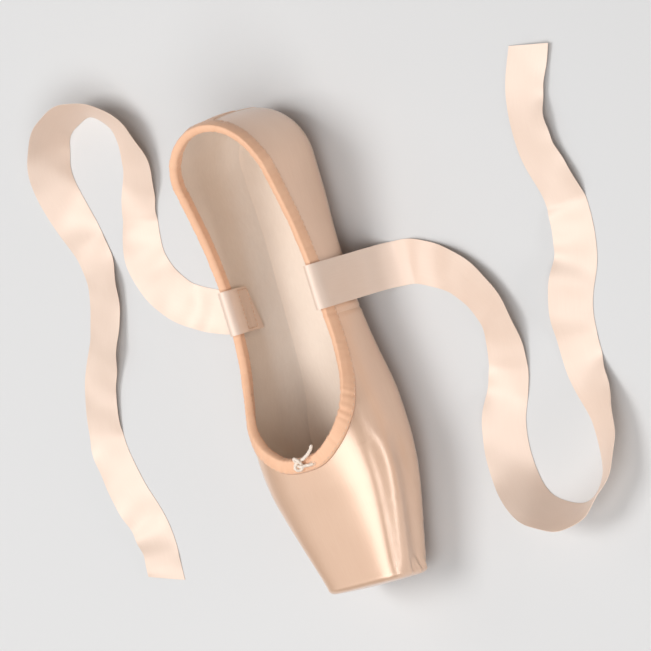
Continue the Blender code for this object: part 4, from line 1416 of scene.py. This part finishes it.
def plate(name, xs, lanes, half_width, lower, upper, finish):
    """A plate with round ends: the heights of its two faces over places along it, and lanes across each."""
    points, faces, cloth, rims = [], [], [], []
    first = 0
    for face, across in ((lower, lanes[0]), (upper, lanes[1])):
        shares = bunched(np.linspace(-1, 1, across), LANE_BUNCHING)
        x = np.repeat(xs[:, None], across, axis=1)
        y = shares[None, :] * half_width(xs)[:, None]
        to_edge = np.abs(shares)[None, :] * np.ones_like(x)
        to_edge[[0, -1]] = 1.0
        faces.append(grid_faces(first, len(xs), across))
        points.append(np.stack([x, y, face(x, y, to_edge)], axis=-1).reshape(-1, 3))
        cloth.append(np.stack([x, y, to_edge], axis=-1).reshape(-1, 3))
        rims.append(first + np.arange(len(xs)) * across)
        rims.append(rims[-1] + across - 1)
        first += x.size
    for below, above in (rims[0::2], rims[1::2]):
        faces.append(np.stack([below[:-1], below[1:], above[1:], above[:-1]], axis=1))
    faces = [tuple(face) for group in faces for face in group]
    return make_piece(name, np.concatenate(points), faces, [finish], np.concatenate(cloth), sharp=40.0)


def hatch_cut(x, y):
    """Depth of the embossed grip: crossed grooves inside an outline with two horns and a round bite."""
    margin = sole_half_width(x) - np.abs(y) - HATCH_MARGIN
    toe_margin = SOLE_TOE_END - HATCH_MARGIN - x
    bite = np.hypot(x - BITE_CENTRE, y) - BITE_RADIUS
    horn = x - HORN_TIP - HORN_SLOPE * np.abs(np.abs(y) - HORN_ASIDE)
    inside = np.minimum(np.minimum(margin, toe_margin), np.minimum(bite, horn))
    one = np.abs(((x + y) / math.sqrt(2) / HATCH_PITCH) % 1 - 0.5) * HATCH_PITCH
    other = np.abs(((x - y) / math.sqrt(2) / HATCH_PITCH) % 1 - 0.5) * HATCH_PITCH
    groove = np.maximum(bump_at(one, HATCH_GROOVE), bump_at(other, HATCH_GROOVE))
    field = ramp_at(inside, *HATCH_FADE)
    border = bump_at(inside, HATCH_GROOVE)
    return HATCH_DEPTH * np.maximum(groove * field, border)


def make_outsole():
    """The leather plate, hatched on its tread."""

    def lower(x, y, to_edge):
        edge = np.maximum(to_edge - SOLE_FLAT_SHARE, 0.0) / (1 - SOLE_FLAT_SHARE)
        return smooth(SOLE_LINE, "height", x) + SOLE_EDGE_LIFT * edge**1.5 + hatch_cut(x, y)

    def upper(x, y, to_edge):
        return underside_at(x, y) - GAP / 3

    heel_turns = np.linspace(0, math.pi / 2, HEEL_COLUMNS, endpoint=False)
    tread = bunched(np.linspace(0, 1, TREAD_COLUMNS), TREAD_BUNCHING)
    heel = SOLE_HEEL_END + (TREAD_START - SOLE_HEEL_END) * (1 - np.cos(heel_turns))
    xs = np.concatenate([heel, TREAD_START + (SOLE_TOE_END - TREAD_START) * tread])
    piece = plate("outsole_suede", xs, (TREAD_LANES, PLAIN_LANES), sole_half_width, lower, upper, suede)
    keep(piece, "sole_leather", "outsole")


def make_insole():
    """The sock board, which lies on the upper's inside."""

    def half_width(x):
        return sole_half_width(x, -INSOLE_MARGIN)

    def lower(x, y, to_edge):
        return underside_at(x, y, wall_at(x)) + GAP / 2

    def upper(x, y, to_edge):
        taper = 1 - INSOLE_EDGE_TAPER * to_edge**4
        wave = SOCK_RIPPLE * np.sin(x / 17.0) * np.cos(y / 9.0)
        return lower(x, y, to_edge) + INSOLE_THICKNESS * taper + wave

    turns = np.linspace(0, math.pi, INSOLE_COLUMNS)
    middle = (SOLE_HEEL_END + SOLE_TOE_END) / 2
    reach = (SOLE_TOE_END - SOLE_HEEL_END) / 2 + INSOLE_MARGIN
    xs = middle - reach * np.cos(turns)
    piece = plate("insole_sock", xs, (PLAIN_LANES, INSOLE_LANES), half_width, lower, upper, sock)
    keep(piece, "sock_board", "insole")


make_outsole()
make_insole()


# Stage and lights, in metres

HALF_FLOOR = 3.0
FLOOR_COLOUR = (0.68, 0.675, 0.67, 1.0)
WORLD_COLOUR = (0.95, 0.96, 1.0, 1.0)
WORLD_STRENGTH = 0.14
Lamp = namedtuple("Lamp", "name x y z wide tall power")
LAMPS = (
    Lamp("top", -0.35, -0.6, 1.5, 0.7, 0.7, 14.0),
    Lamp("near", 0.62, 0.38, 1.46, 1.5, 1.3, 16.0),
    Lamp("vamp", 0.35, -0.95, 1.2, 1.3, 1.2, 2.2),
    Lamp("low", 0.45, 1.2, 0.26, 0.95, 0.12, 3.3),
    Lamp("far", -0.9, -1.0, 0.7, 0.8, 0.8, 2.0),
)

floor_mesh = bpy.data.meshes.new("floor")
corners = ((-1, -1), (1, -1), (1, 1), (-1, 1))
floor_mesh.from_pydata([(x * HALF_FLOOR, y * HALF_FLOOR, 0) for x, y in corners], [], [(0, 1, 2, 3)])
floor_finish = Finish("pale_floor", Base_Color=FLOOR_COLOUR, Roughness=0.75, Specular_IOR_Level=0.2)
floor_mesh.materials.append(floor_finish.made)
floor = bpy.data.objects.new("floor", floor_mesh)
bpy.context.collection.objects.link(floor)

for lamp in LAMPS:
    light = bpy.data.objects.new(lamp.name, bpy.data.lights.new(lamp.name, "AREA"))
    light.data.shape = "RECTANGLE"
    light.data.size, light.data.size_y = lamp.wide, lamp.tall
    light.data.energy = lamp.power
    light.location = (lamp.x, lamp.y, lamp.z)
    light.rotation_euler = (-Vector(light.location)).to_track_quat("-Z", "Y").to_euler()
    bpy.context.collection.objects.link(light)

world = bpy.data.worlds.new("studio")
world.use_nodes = True
background = world.node_tree.nodes["Background"]
background.inputs["Color"].default_value = WORLD_COLOUR
background.inputs["Strength"].default_value = WORLD_STRENGTH
bpy.context.scene.world = world
bpy.context.scene.view_settings.view_transform = "Standard"
